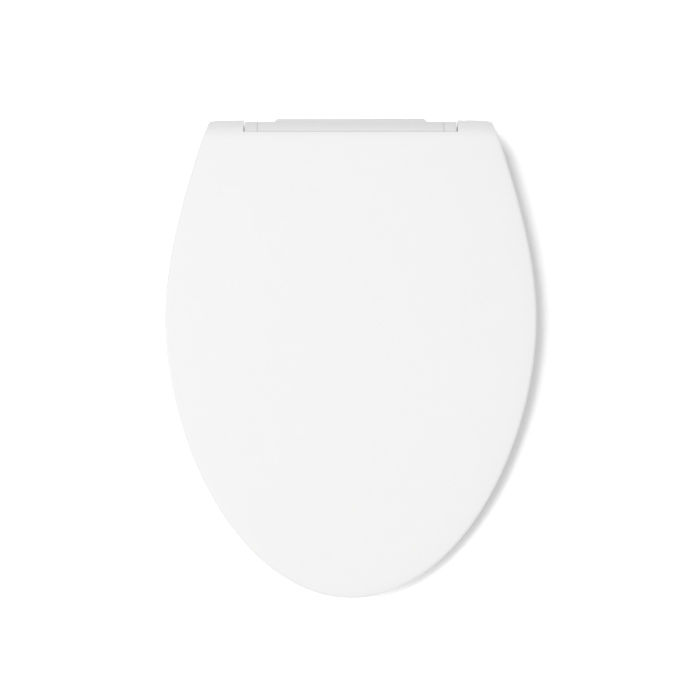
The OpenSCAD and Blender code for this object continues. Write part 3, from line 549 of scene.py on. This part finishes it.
BOARD_GREEN = tracked("board_green", (0.012, 0.09, 0.035), (0.03, 0.17, 0.07), 220, 0.3, 0.0)
HEATER_FOIL = tracked("heater_foil", (0.60, 0.60, 0.61), (0.55, 0.14, 0.06), 40, 0.12, 0.9)
dress(GREY_PLASTIC, "wand_cradle", "solenoid_valve")
dress(DARK_PLASTIC, "thermal_cutout", "blower_housing", "blower_impeller", "seat_damper", "lid_damper")
dress(STEEL, "case_screws", "wand_motors", "tank_element", "diverter_motor", "blower_motor",
      "release_spring", "seat_damper_shaft", "lid_damper_shaft", "lid_pivot_pin")
dress(COPPER, "solenoid_coil", "dryer_element")
dress(ACETAL, "wash_pinion", "bidet_pinion")
dress(TANK_MILKY, "water_tank")
dress(HOSE_MILKY, "inner_hoses")
dress(FILTER_BLUE, "inlet_filter")
dress(WHITE_SATIN, "vacuum_breaker", "diverter_valve")
dress(CHIP_BLACK, "board_parts")
dress(BOARD_GREEN, "control_board", "key_board")
dress(HEATER_FOIL, "seat_heater")


# Two spray wands slide out of the front on a slope. Each is a smooth white tube with a glossy
# nozzle end pushed on: the left one has a single wash hole and the right one has three.
NOSE_START = 0.5 * MM
NOSE_END = 9.9 * MM
NOSE_ROUND = 1.3 * MM
STEM_R = 3.3 * MM
FLAT_HALF = 1.9 * MM
FLAT_DEPTH = 0.45 * MM
SPRAY_AT = 6.8 * MM
SPRAY_PITCH = 1.1 * MM
SPRAY_R = 0.4 * MM
WAND_WHITE = finish("wand_white", (0.74, 0.76, 0.78), (0.72, 0.74, 0.76), (0.12, 0.20), 0.000004,
                    grain=0.2, coat=0.3, soft_edge=0.0002)
WHITE_GLOSS = finish("white_gloss", (0.832, 0.832, 0.832), (0.822, 0.822, 0.820), (0.20, 0.26), 0.000004,
                     ripple=45, grain=0.15, coat=0.35)


def wand_block(low, high):
    """A box drawn in the wands' own sloping frame."""
    cutter = only(block("slot", low, high))
    cutter.matrix_world = Matrix.Translation(PORT) @ Matrix.Rotation(WAND_TILT, 4, "X")
    bpy.ops.object.transform_apply()
    return cutter


dress(WAND_WHITE, "wash_wand", "bidet_wand")
for name, x, holes in (("wash", -WAND_X, 1), ("bidet", WAND_X, 3)):
    nose = soften(wand_line(name + "_nose", x, NOSE_START, NOSE_END, WAND_R), NOSE_ROUND, 6)
    stem = wand_line("stem", x, 5 * MM, 13.5 * MM, STEM_R)
    flat_low = (x - FLAT_HALF, 4.4 * MM, WAND_R - FLAT_DEPTH)
    carve(nose, wand_block(flat_low, (x + FLAT_HALF, 9.2 * MM, WAND_R + MM)))
    tilt = Matrix.Rotation(WAND_TILT, 3, "X")
    for k in range(holes):
        spot = PORT + tilt @ Vector((x + (k - (holes - 1) / 2) * SPRAY_PITCH, SPRAY_AT, 0))
        carve(nose, rod("hole", spot + tilt @ at(0, 0, 2), spot + tilt @ at(0, 0, 6), SPRAY_R, 24))
    nose = gather(name + "_nose", nose, stem)
    place(nose, name + "_arm", WHITE_GLOSS, name + "_tip")


# The water inlet: a nickel-plated brass half-inch tail on the left side, turned and bored, with
# a rolled thread that the supply hose's nut screws onto up to a thin flange.
THREAD_R = 10.48 * MM
THREAD_CORE = 9.3 * MM
THREAD_PITCH = 1.814 * MM
THREAD_CREST = 0.5 * MM
THREAD_TURNS = 5
TAIL_R = 9.4 * MM
TAIL_BORE = 6 * MM
NECK_R = 8.48 * MM
NICKEL = finish("brass_nickel", (0.62, 0.60, 0.56), (0.56, 0.54, 0.50), (0.16, 0.26), 0.00002,
                grain_size=1200, grain=0.8, metal=1.0, soft_edge=0.0003)


def turned(name, start, end, radius):
    """A bored length of the tail, from start to end millimetres along it from the base's side."""
    length = rod(name, INLET + at(start, 0, 0), INLET + at(end, 0, 0), radius, 96)
    return carve(length, rod("bore", INLET - at(20, 0, 0), INLET + at(20, 0, 0), TAIL_BORE))


tail = soften(turned("tail", -13, -1.5, TAIL_R), 0.5 * MM)
flange = turned("flange", -2.6, -1.5, THREAD_R)
neck_tube = turned("neck_tube", -2, 12, NECK_R)
flank = THREAD_PITCH / 2 - THREAD_CREST / 2
ridge = ((0, THREAD_CORE), (flank, THREAD_R), (flank + THREAD_CREST, THREAD_R), (THREAD_PITCH, THREAD_CORE))
bpy.ops.object.select_all(action="DESELECT")
bpy.ops.mesh.primitive_circle_add(vertices=len(ridge), radius=1)
thread = named("thread")
for vertex, (along, radius) in zip(thread.data.vertices, ridge):
    vertex.co = (along, 0, radius)
editing(True)
pick("EDGE", lambda e: max(v.co.z for v in e.verts) < TAIL_R)
bpy.ops.mesh.delete(type="EDGE")
editing(False)
screw = thread.modifiers.new("screw", "SCREW")
screw.axis = "X"
screw.steps = 64
screw.render_steps = 64
screw.iterations = THREAD_TURNS
screw.screw_offset = THREAD_PITCH
screw.use_merge_vertices = True
bpy.ops.object.modifier_apply(modifier="screw")
thread.matrix_world = Matrix.Translation(INLET - at(12.6, 0, 0))
bpy.ops.object.transform_apply()
editing(True)
bpy.ops.mesh.select_all(action="SELECT")
bpy.ops.mesh.normals_make_consistent(inside=False)
editing(False)
inlet = gather("inlet", tail, thread, flange, neck_tube)
place(inlet, "base", NICKEL, "inlet_fitting", angle=28)


# The cord's way in: a black rubber gland with a rolled lip, pushed into the right side. Its bore
# is open, because no cord is fitted here.
GLAND_R = 6 * MM
LIP_R = 7.95 * MM
CORD_R = 4 * MM
gland = rod("gland", GLAND - at(8, 0, 0), GLAND + at(2, 0, 0), GLAND_R)
lip = soften(rod("lip", GLAND, GLAND + at(4, 0, 0), LIP_R), 1.2 * MM, 5)
gland = carve(gather("gland", gland, lip), rod("bore", GLAND - at(12, 0, 0), GLAND + at(8, 0, 0), CORD_R))
place(gland, "base", BLACK_RUBBER, "power_gland")


# The dryer's door hangs from a pin in the mouth of the air duct, with two fine grooves across
# its face. It is moulded in the tray's satin white, and the air blows it open.
DOOR_LOW = at(39.6, -89.5, 22.5)
DOOR_HIGH = at(54.4, -88.1, 32.4)
DOOR_LINES = (25, 28)
LINE_HALF = 0.35
PIN_R = 1.15 * MM
door = soften(block("door", DOOR_LOW, DOOR_HIGH), 0.35 * MM, 3)
for z in DOOR_LINES:
    carve(door, block("line", at(41, -89.9, z - LINE_HALF), at(53, -89.2, z + LINE_HALF)))
pin = soften(rod("pin", at(39.3, -88.4, 32.4), at(54.7, -88.4, 32.4), PIN_R, 32), 0.2 * MM)
door = gather("door", door, pin)
place(door, "flap", WHITE_SATIN, "dryer_flap")


# Three satin grey keys sit in a row on the right side, under the seat's edge. Each is a round
# cap with a dished face, held in its hole by a collar behind the cover's wall.
KEY_SPOTS = (-66 * MM, -52 * MM, -38 * MM)
KEY_Z = 28 * MM
KEY_R = 4.38 * MM
KEY_PROUD = 1.5 * MM
COLLAR_R = 5.6 * MM
KEY_GREY = finish("key_grey", (0.50, 0.51, 0.53), (0.47, 0.48, 0.50), (0.28, 0.40), 0.00001,
                  grain_size=1800, grain=0.9)
first_key = Vector((BASE_HALF, KEY_SPOTS[0], KEY_Z))
cap = rod("cap", first_key - at(3.4, 0, 0), first_key + Vector((KEY_PROUD, 0, 0)), KEY_R, 96)
editing(True)
pick("FACE", lambda f: f.normal.x > 0.99)
bpy.ops.mesh.inset(thickness=0.35 * MM, depth=0)
for width, dip in ((0.5, 0.12), (0.7, 0.1), (0.9, 0.06), (0.9, 0.02)):
    bpy.ops.mesh.inset(thickness=width * MM, depth=-dip * MM)
editing(False)
soften(cap, 0.35 * MM, 4)
collar = rod("collar", first_key - at(4, 0, 0), first_key - at(2.8, 0, 0), COLLAR_R, 96)
keys = copies(gather("key", cap, collar), *(Vector((0, y - KEY_SPOTS[0], 0)) for y in KEY_SPOTS[1:]))
for name, key in zip(("wash_key", "bidet_key", "power_key"), keys):
    only(key)
    place(named(name), name + "_cap", KEY_GREY, name)


# Below the keys the grey slide lets the seat off its plate. It is one moulding: a thumb pad with
# five grooves, a plate that keeps it in its mouth, and a tongue that reaches in to the rail.
GROOVES = (-2, -1, 0, 1, 2)
GROOVE_PITCH = 2.2
GROOVE_HALF = 0.5
slide = soften(block("slide", at(134.5, -6, 6), at(140.9, 10, 14)), 0.7 * MM, 4)
for k in GROOVES:
    middle = BUTTON.y / MM + k * GROOVE_PITCH
    groove = block("groove", at(140.2, middle - GROOVE_HALF, 7.4), at(140.9, middle + GROOVE_HALF, 12.6))
    carve(slide, soften(groove, 0.25 * MM))
plate = block("plate", at(132.5, -9, 6), at(134.5, 13, 16))
tongue = block("tongue", at(107.5, -2, 12.4), at(133.5, 6, 15))
slide = gather("slide", slide, plate, tongue)
place(slide, "release", KEY_GREY, "release_button")


# A round dark window on the right side lets the remote's infrared in, and a frosted lens at the
# front covers the night light. Both are clear mouldings pressed into the cover from inside.
WINDOW = Vector((138, -24, 28)) * MM
WINDOW_R = 2.95 * MM
LAMP = Vector((-32, -90, 29)) * MM
LAMP_R = 3.95 * MM
LENS_DARK = finish("lens_dark", (0.012, 0.008, 0.012), (0.016, 0.010, 0.016), (0.06, 0.10), 0.000002,
                   grain=0.1, coat=0.6)
LENS_CLEAR = finish("lens_clear", (0.80, 0.80, 0.74), (0.78, 0.78, 0.72), (0.29, 0.38), 0.00002,
                    grain_size=2000, grain=0.9, clear=0.45)
window = soften(rod("window", WINDOW - at(4, 0, 0), WINDOW + at(0.6, 0, 0), WINDOW_R), 0.5 * MM, 4)
place(window, "base", LENS_DARK, "ir_window")
lamp = soften(rod("lamp", LAMP + at(0, 4, 0), LAMP - at(0, 0.4, 0), LAMP_R), 0.38 * MM, 4)
place(lamp, "base", LENS_CLEAR, "night_light")


# The base's cover: a glossy white moulding 2.5 mm thick over the works, its roof sloped like the
# closed seat and stepped down under the lid's ears. A neck at the back carries the hinge
# barrel, and a low bulge behind it holds the pipework.
HINGE = Vector(next(j["pos_m"] for j in frame["joints"] if j["name"] == "seat_hinge"))
SLOPE = math.radians(4.5)
ROOF_W = -12 * MM
ROOF_EDGE = 2.2 * MM
TALL = 72 * MM
STEP_FLOOR = 41 * MM
STEP_FRONT = -13 * MM
BARREL_R = 15.5 * MM
BARREL_HALF = 95 * MM
BARREL_BORE = 13 * MM
NECK_HALF = 13 * MM
NECK_WALL = 2.5 * MM
BULGE_HALF = 86.5 * MM
BULGE_TAPER = 11.5 * MM
BULGE_START = 18 * MM
BULGE_REAR = 31.8 * MM
BULGE_TOP = 47 * MM
BULGE_EDGE = 6.5 * MM
FILLET_LOW = 42 * MM
FILLET_TOP = 68 * MM
FILLET_RISE = Vector((0, 16, 5.2))
DUCT = (Vector((39, -90, 22)) * MM, Vector((55, -90, 34)) * MM)


def roofed(name, inset, bottom, drop):
    """The base's outline drawn up to the sloping roof, less the steps under the lid's ears."""
    piece = slab(name, base_outline(inset), bottom, TALL)
    up = Matrix.Rotation(SLOPE, 3, "X") @ Vector((0, 0, 1))
    editing(True)
    bpy.ops.mesh.select_all(action="SELECT")
    bpy.ops.mesh.bisect(
        plane_co=HINGE + up * (ROOF_W - drop), plane_no=up, clear_outer=True, use_fill=True)
    editing(False)
    for side in (-1, 1):
        low, high = sorted((side * (BARREL_HALF - drop), side * PAST))
        carve(piece, block("step", (low, STEP_FRONT - drop, STEP_FLOOR - drop), (high, PAST / 2, PAST / 2)))
    return piece


def along_hinge(name, half, radius, sides=64):
    """A round bar on the hinge line, as far to the left as to the right."""
    return rod(name, (-half, HINGE.y, HINGE.z), (half, HINGE.y, HINGE.z), radius, sides)


def side_bore(y, radius):
    """A hole through the right wall at the height of the keys."""
    return rod("bore", (BASE_HALF - 6 * MM, y, KEY_Z), (BASE_HALF + 6 * MM, y, KEY_Z), radius)


cover = soften(roofed("cover", 0, SEAM, 0), ROOF_EDGE, 4)
carve(cover, roofed("hollow", BASE_WALL, SEAM - MM, BASE_WALL))
for side in (-1, 1):
    wand_slot_low = (side * WAND_X - 2.5 * MM, BORE_START, 0)
    wand_slot_high = (side * WAND_X + 2.5 * MM, BORE_END, 7.3 * MM)
    carve(cover, wand_bore(side), wand_block(wand_slot_low, wand_slot_high))
for y in KEY_SPOTS:
    carve(cover, side_bore(y, 4.65 * MM))
carve(
    cover,
    side_bore(WINDOW.y, 3.1 * MM),
    rod("bore", LAMP - at(0, 4, 0), LAMP + at(0, 8, 0), 4.1 * MM),
    inlet_bore(),
    block("mouth", DUCT[0] - at(0, 4, 0), DUCT[1] + at(0, 6, 0)))

neck = block(
    "neck", (-BARREL_HALF, HINGE.y - NECK_HALF, 24 * MM), (BARREL_HALF, HINGE.y + NECK_HALF, HINGE.z))
neck_room = NECK_HALF - NECK_WALL
carve(neck, block(
    "hollow", (-55 * MM, HINGE.y - neck_room, 20 * MM), (55 * MM, HINGE.y + neck_room, 58 * MM)))
barrel = soften(along_hinge("barrel", BARREL_HALF, BARREL_R, 96), 0.25 * MM)
carve(barrel, along_hinge("bore", PAST, BARREL_BORE))

shoulder = [(BULGE_HALF, HINGE.y)]
for k in range(13):
    s = k / 12
    swell = (BULGE_REAR - BULGE_START) * s * s * (3 - 2 * s)
    shoulder.append((BULGE_HALF - BULGE_TAPER * s, BULGE_START + swell))
bulge_outline = shoulder + [(-x, y) for x, y in reversed(shoulder)]
bulge = slab("bulge", bulge_outline, SEAM, BULGE_TOP)
editing(True)
pick("EDGE", lambda e: min(v.co.z for v in e.verts) > BULGE_TOP - MM and max(
    v.co.y for v in e.verts) > BULGE_START + MM)
bpy.ops.mesh.bevel(offset=BULGE_EDGE, segments=8, affect="EDGES")
editing(False)
carve(bulge, block("hollow", (-70 * MM, 10 * MM, 20 * MM), (70 * MM, BULGE_REAR - BASE_WALL, 40 * MM)))
fillet_outline = [(x * 0.985, min(y, BULGE_REAR - 0.4 * MM)) for x, y in bulge_outline]
fillet = slab("fillet", fillet_outline, FILLET_LOW, FILLET_TOP)
editing(True)
bpy.ops.mesh.select_all(action="SELECT")
bpy.ops.mesh.bisect(
    plane_co=(0, BULGE_REAR - 0.6 * MM, BULGE_TOP - MM), plane_no=FILLET_RISE.normalized(),
    clear_outer=True, use_fill=True)
editing(False)
cover = gather("cover", cover, neck, bulge, soften(fillet, 1.2 * MM, 4, 30), barrel)
BASE_WHITE = finish("base_white", (0.79, 0.79, 0.79), (0.775, 0.775, 0.772), (0.20, 0.265), 0.000004,
                    ripple=45, grain=0.15, coat=0.3)
place(cover, "base", BASE_WHITE, "base_cover")


# The seat: a glossy white hollow ring, its top dished towards the opening, with a rounded outer
# edge, an upright skirt and two arms that end in the rings beside the hinge barrel. Seat and
# lid share one outline, and both are drawn level about the hinge and tipped to their slope.
LID_HALF = (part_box("lid_shell")[1].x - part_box("lid_shell")[0].x) / 2
LID_REACH = 473 * MM
LID_TOP = 19.5 * MM
WIDEST = 189 * MM
SIDE_SLOPE = 0.42
SIDE_BEND = 61 * MM
FRONT_POWER = 1.8
ROLL_BACK = 2.5 * MM
SPARE = 60 * MM
SEAT_INSET = 5 * MM
SEAT_TOP = 10 * MM
SEAT_ROUND = 9 * MM
RIM_EASE = 0.8 * MM
OPENING_AT = -232 * MM
OPENING_HALF = 107 * MM
OPENING_REAR = 108 * MM
OPENING_FRONT = 167 * MM
UNDER_LINE = (Vector((-483, -16)) * MM, Vector((-132, -31)) * MM, Vector((-110, -12)) * MM)
SHELL_T = 3 * MM
SHELL_GAP = 0.4 * MM
RING_IN = 95.25 * MM
RING_OUT = 108 * MM
REAR_EDGE = -23.5 * MM
REAR_NOTCH = Vector((108.6, -17)) * MM
SPOKES = 240
SPOKE_ANGLES = np.linspace(-math.pi, math.pi, SPOKES, endpoint=False)


def tip(piece):
    """Moves a piece drawn level about the hinge to its resting slope."""
    only(piece)
    piece.matrix_world = Matrix.Translation(HINGE) @ Matrix.Rotation(SLOPE, 4, "X")
    bpy.ops.object.transform_apply()
    return piece


def half_width(v):
    """Half the lid's width at a distance v behind the hinge line."""
    if v > -WIDEST:
        return LID_HALF + SIDE_BEND - math.hypot(SIDE_BEND, SIDE_SLOPE * (v + WIDEST))
    t = (-WIDEST - v) / (LID_REACH - WIDEST)
    return LID_HALF * math.sqrt(max(0, 1 - t ** FRONT_POWER))


def rolled(v, w):
    """Where a point of the flat sheet goes when the lid rolls down behind the hinge."""
    past = v + ROLL_BACK
    if past <= 0:
        return v, w
    turn = past / LID_TOP
    return w * math.sin(turn) - ROLL_BACK, w * math.cos(turn)


def lid_outline(rear, step=4 * MM):
    """The lid's edge in plan before the roll, from the right rear corner round the front tip."""
    count = round((rear + WIDEST) / step)
    side = [(half_width(LID_TOP - ROLL_BACK), rear + SPARE)]
    for i in range(count):
        v = rear - (rear + WIDEST) * i / count
        past = min(v + ROLL_BACK, math.pi / 2 * LID_TOP)
        side.append((half_width(rolled(past - ROLL_BACK, LID_TOP)[0]), v))
    for a in np.radians(np.arange(0, 89, 2.0)):
        t = math.sin(a) ** (2 / FRONT_POWER)
        side.append((LID_HALF * math.cos(a), -WIDEST - (LID_REACH - WIDEST) * t))
    return side + [(0, -LID_REACH)] + [(-x, v) for x, v in reversed(side)]


def moved_in(outline, distance):
    """An outline drawn again inside itself."""
    points = [Vector(p) for p in outline]
    made = []
    for i, point in enumerate(points):
        along = (points[(i + 1) % len(points)] - points[i - 1]).normalized()
        made.append(point + distance * Vector((along.y, -along.x)))
    return made


def under(v):
    """Height of the seat's underside, v behind the hinge line."""
    front, wing, back = UNDER_LINE
    if v < wing.x:
        return front.y + (wing.y - front.y) * (v - front.x) / (wing.x - front.x)
    if v < back.x:
        return wing.y + (back.y - wing.y) * (v - wing.x) / (back.x - wing.x)
    return back.y


def seat_rim(v):
    """Height of the skirt's lower edge, v behind the hinge line."""
    return under(v) + SHELL_T + SHELL_GAP


def spokes(outline):
    """Distance from the middle of the opening to an outline, along each spoke."""
    flat = np.array([(p[0], p[1] - OPENING_AT) for p in outline])
    angles = np.arctan2(flat[:, 1], flat[:, 0])
    return np.interp(SPOKE_ANGLES, angles, np.hypot(flat[:, 0], flat[:, 1]), period=2 * math.pi)


def opening_spokes(grow):
    """Distance from the middle of the opening to its edge, two half ellipses, along each spoke."""
    reach = np.where(SPOKE_ANGLES > 0, OPENING_REAR + grow, OPENING_FRONT + grow)
    across = np.cos(SPOKE_ANGLES) / (OPENING_HALF + grow)
    return 1 / np.hypot(across, np.sin(SPOKE_ANGLES) / reach)


def seat_loop(kind, amount, height):
    """A loop round the opening, an amount in from the seat's outer edge, out from its opening, or
    a share of the way between them, at one height or at a height for each v."""
    reach = {
        "outer": outer_edge - amount,
        "inner": inner_edge + amount,
        "share": outer_edge + (inner_edge - outer_edge) * amount}[kind]
    loop = []
    for a, r in zip(SPOKE_ANGLES, reach):
        v = OPENING_AT + r * math.sin(a)
        loop.append((r * math.cos(a), v, height(v) if callable(height) else height))
    return loop


def hoop(name, loops):
    """A closed hollow band: a ring of edges drawn out loop by loop and then joined to its start."""
    bpy.ops.object.select_all(action="DESELECT")
    bpy.ops.mesh.primitive_circle_add(vertices=SPOKES, radius=1)
    piece = named(name)
    for vertex, corner in zip(piece.data.vertices, loops[0]):
        vertex.co = corner
    editing(True)
    bpy.ops.mesh.select_mode(type="EDGE")
    bpy.ops.mesh.select_all(action="SELECT")
    for loop in loops[1:]:
        bpy.ops.mesh.extrude_region_move()
        for corner in bmesh.from_edit_mesh(piece.data).verts:
            if corner.select:
                turn = math.atan2(corner.co.y - OPENING_AT, corner.co.x) + math.pi
                corner.co = loop[round(turn / (2 * math.pi) * SPOKES) % SPOKES]
    pick("EDGE", lambda e: e.is_boundary)
    bpy.ops.mesh.bridge_edge_loops()
    bpy.ops.mesh.select_all(action="SELECT")
    bpy.ops.mesh.normals_make_consistent(inside=False)
    editing(False)
    return piece


def rear_cut():
    """What is cut off behind the seat, less the room for its arms."""
    corner = [(300 * MM, REAR_EDGE), (REAR_NOTCH.x, REAR_EDGE), (REAR_NOTCH.x, REAR_NOTCH.y)]
    points = [(-x, y) for x, y in corner] + corner[::-1]
    return slab("rear_cut", points + [(300 * MM, 90 * MM), (-300 * MM, 90 * MM)], -PAST / 2, PAST / 2)


seat_edge = moved_in(lid_outline(30 * MM)[1:-1], SEAT_INSET)
outer_edge = spokes(seat_edge)
inner_edge = opening_spokes(0)
stations = [
    ("outer", RIM_EASE, seat_rim),
    ("outer", 0, lambda v: seat_rim(v) + RIM_EASE),
    ("outer", 0, 0)]
for a in np.radians((15, 30, 45, 60, 75, 90)):
    stations.append(("outer", SEAT_ROUND * (1 - math.cos(a)), 1 * MM + 8.4 * MM * math.sin(a)))
stations += [
    ("outer", 14 * MM, 9.9 * MM),
    ("outer", 20 * MM, SEAT_TOP),
    ("outer", 27 * MM, 9.8 * MM),
    ("share", 0.5, 9.0 * MM),
    ("share", 0.65, 8.6 * MM),
    ("inner", 17 * MM, 8.5 * MM)]
for a in np.radians((88, 70, 52, 35, 18, 0)):
    stations.append(("inner", 11.76 * MM * (1 - math.cos(a)), 8.4 * MM - 9 * MM * (1 - math.sin(a))))
stations += [
    ("inner", 0, -4 * MM),
    ("inner", 0, lambda v: seat_rim(v) + RIM_EASE),
    ("inner", RIM_EASE, seat_rim)]
seat = hoop("seat", [seat_loop(*station) for station in stations])
soften(carve(seat, rear_cut()), 1.2 * MM, angle=60)
arms = []
for side in (-1, 1):
    low, high = sorted((side * RING_IN, side * RING_OUT))
    arms.append(soften(block("arm", (low, -20 * MM, -8 * MM), (high, -2 * MM, 8.4 * MM)), 1 * MM))
    arms.append(soften(rod("ring", (low, 0, 0), (high, 0, 0), BARREL_R, 96), 0.3 * MM))
seat = gather("seat", seat, *arms)
place(tip(seat), "seat", BASE_WHITE, "seat_upper_shell")


# Below the ring a thin floor of satin white plastic closes the seat. It follows the wedge of the
# ring, steps up in front of the base and runs back over it to the hinge, and is welded on.
FLOOR_T = 2.6 * MM
FLOOR_GAP = 0.9 * MM
reach = opening_spokes(FLOOR_GAP)
egg = list(zip(reach * np.cos(SPOKE_ANGLES), OPENING_AT + reach * np.sin(SPOKE_ANGLES)))
seat_floor = slab("seat_floor", moved_in(seat_edge, FLOOR_GAP), 0, FLOOR_T)
carve(seat_floor, slab("opening", egg, -PAST / 2, PAST / 2), rear_cut())
editing(True)
for bend in UNDER_LINE[1:]:
    bpy.ops.mesh.select_all(action="SELECT")
    bpy.ops.mesh.bisect(plane_co=(0, bend.x, 0), plane_no=(0, 1, 0))
editing(False)
for vertex in seat_floor.data.vertices:
    vertex.co.z += under(vertex.co.y) + 0.05 * MM
soften(seat_floor, 0.5 * MM, angle=30)
place(tip(seat_floor), "seat", WHITE_SATIN, "seat_lower_shell")


# Four grey rubber pads press into the seat's floor, so that it closes quietly and stands level
# on the rim. Each is a round stub with a rounded end, as long as the floor is high there.
SEAT_PAD_R = 8.9 * MM
SEAT_PAD_ROUND = 1.6 * MM
SEAT_PAD_SPOTS = (-170 * MM, -378.4 * MM)
GREY_RUBBER = finish("grey_rubber", (0.40, 0.40, 0.41), (0.36, 0.36, 0.37), (0.55, 0.75), 0.00004,
                     grain_size=1500, grain=0.9)


def opening_half(v):
    """Half the width of the seat's opening, v behind the hinge line."""
    reach = OPENING_REAR if v > OPENING_AT else OPENING_FRONT
    return OPENING_HALF * math.sqrt(max(0, 1 - ((v - OPENING_AT) / reach) ** 2))


seat_pads = []
for v in SEAT_PAD_SPOTS:
    x = (half_width(v) + opening_half(v)) / 2
    top = HINGE.z + v * math.sin(SLOPE) + under(v) * math.cos(SLOPE) - 0.6 * MM
    pad = rod("pad", (x, v + HINGE.y, 0), (x, v + HINGE.y, top), SEAT_PAD_R)
    seat_pads += copies(soften(pad, SEAT_PAD_ROUND, 5), (-2 * x, 0, 0))
place(gather("seat_pads", *seat_pads), "seat", GREY_RUBBER, "seat_bumpers")


# The lid: one glossy white polypropylene moulding, 380 mm wide and about 490 mm long. Its top
# runs level to a soft shoulder and a rounded edge. At the back it rolls down round the hinge
# into two ears, and a notch between them clears the barrel.
LID_EDGE_LOW = 8 * MM
LID_CROWN = 4.4 * MM
LID_EDGE_R = 3.2 * MM
LID_HOLLOW = 5.5 * MM
ROLL_TURN = math.radians(128)
ROLL_STEP = 1.7 * MM
EAR_DROP = 12 * MM
EAR_HUB = 16.2 * MM
NOTCH_HALF = 109 * MM
NOTCH_BACK = 5.9 * MM


def round_over(radius, steps):
    """Insets the selected face in steps that follow a quarter circle."""
    for i in range(steps):
        a, b = (math.pi / 2 * k / steps for k in (i, i + 1))
        bpy.ops.mesh.inset(
            thickness=radius * (math.cos(a) - math.cos(b)), depth=radius * (math.sin(b) - math.sin(a)))


roll_end = ROLL_TURN * LID_TOP - ROLL_BACK
lid = slab("lid", lid_outline(roll_end), LID_EDGE_LOW, LID_TOP - LID_CROWN)
editing(True)
pick("FACE", lambda f: f.normal.z > 0.9)
round_over(LID_EDGE_R, 7)
for width, rise in ((3, 0.45), (4, 0.36), (5, 0.24), (6, 0.12), (7, 0.03), (4, 0)):
    bpy.ops.mesh.inset(thickness=width * MM, depth=rise * MM)
pick("FACE", lambda f: f.normal.z < -0.9)
for width, rise in ((0.5, 0.3), (2, 0), (0.5, -0.3)):
    bpy.ops.mesh.inset(thickness=width * MM, depth=rise * MM)
bpy.ops.mesh.extrude_region_move(TRANSFORM_OT_translate={"value": (0, 0, LID_HOLLOW)})
for width, rise in ((0.5, 1.3), (1.2, 1.0), (2.4, 0.7)):
    bpy.ops.mesh.inset(thickness=width * MM, depth=-rise * MM)
bpy.ops.mesh.select_all(action="SELECT")
bpy.ops.mesh.bisect(plane_co=(0, roll_end, 0), plane_no=(0, 1, 0), clear_outer=True, use_fill=True)
editing(False)
carve(lid, block("notch", (-NOTCH_HALF, NOTCH_BACK, -PAST / 2), (NOTCH_HALF, PAST, PAST / 2)))
editing(True)
for v in np.arange(-ROLL_BACK, roll_end, ROLL_STEP):
    bpy.ops.mesh.select_all(action="SELECT")
    bpy.ops.mesh.bisect(plane_co=(0, v, 0), plane_no=(0, 1, 0))
editing(False)
for vertex in lid.data.vertices:
    vertex.co.y, vertex.co.z = rolled(vertex.co.y, vertex.co.z)
hubs = []
for side in (-1, 1):
    hub = rod("hub", (side * NOTCH_HALF, -ROLL_BACK, 0), (side * PAST, -ROLL_BACK, 0), EAR_HUB)
    for vertex in hub.data.vertices:
        if abs(vertex.co.x) > NOTCH_HALF + MM:
            vertex.co.x = side * (half_width(vertex.co.y) - 0.9 * MM)
    editing(True)
    bpy.ops.mesh.select_all(action="SELECT")
    bpy.ops.mesh.bisect(plane_co=(0, 0, -EAR_DROP), plane_no=(0, 0, -1), clear_outer=True, use_fill=True)
    editing(False)
    hubs.append(soften(hub, 0.8 * MM))
lid = gather("lid", lid, *hubs)
place(tip(lid), "lid", WHITE_GLOSS, "lid_shell")


# Four small grey rubber pads are pressed into the lid's underside and rest on the seat when it
# closes. Each is a low round button with a rounded rim.
LID_PAD_R = 4.9 * MM
LID_PAD_ROUND = 1.5 * MM
LID_PAD_LOW = 10.3 * MM
LID_PAD_TOP = 16.4 * MM
LID_PAD_SPREAD = 0.76
rear_v, front_v = (-118.25 * MM, -399.7 * MM)
rear_x, front_x = (LID_PAD_SPREAD * half_width(v) for v in (rear_v, front_v))
lid_pad = rod("pad", (rear_x, rear_v, LID_PAD_LOW), (rear_x, rear_v, LID_PAD_TOP), LID_PAD_R)
lid_pads = copies(
    soften(lid_pad, LID_PAD_ROUND, 5),
    (-2 * rear_x, 0, 0),
    (front_x - rear_x, front_v - rear_v, 0),
    (-front_x - rear_x, front_v - rear_v, 0))
place(tip(gather("lid_pads", *lid_pads)), "lid", GREY_RUBBER, "lid_bumpers")

# All the pieces are in place: the front left light is told to fall on them.
for piece in bpy.data.objects:
    if piece.type == "MESH" and piece is not table_top:
        all_but_table.objects.link(piece)

low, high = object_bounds()
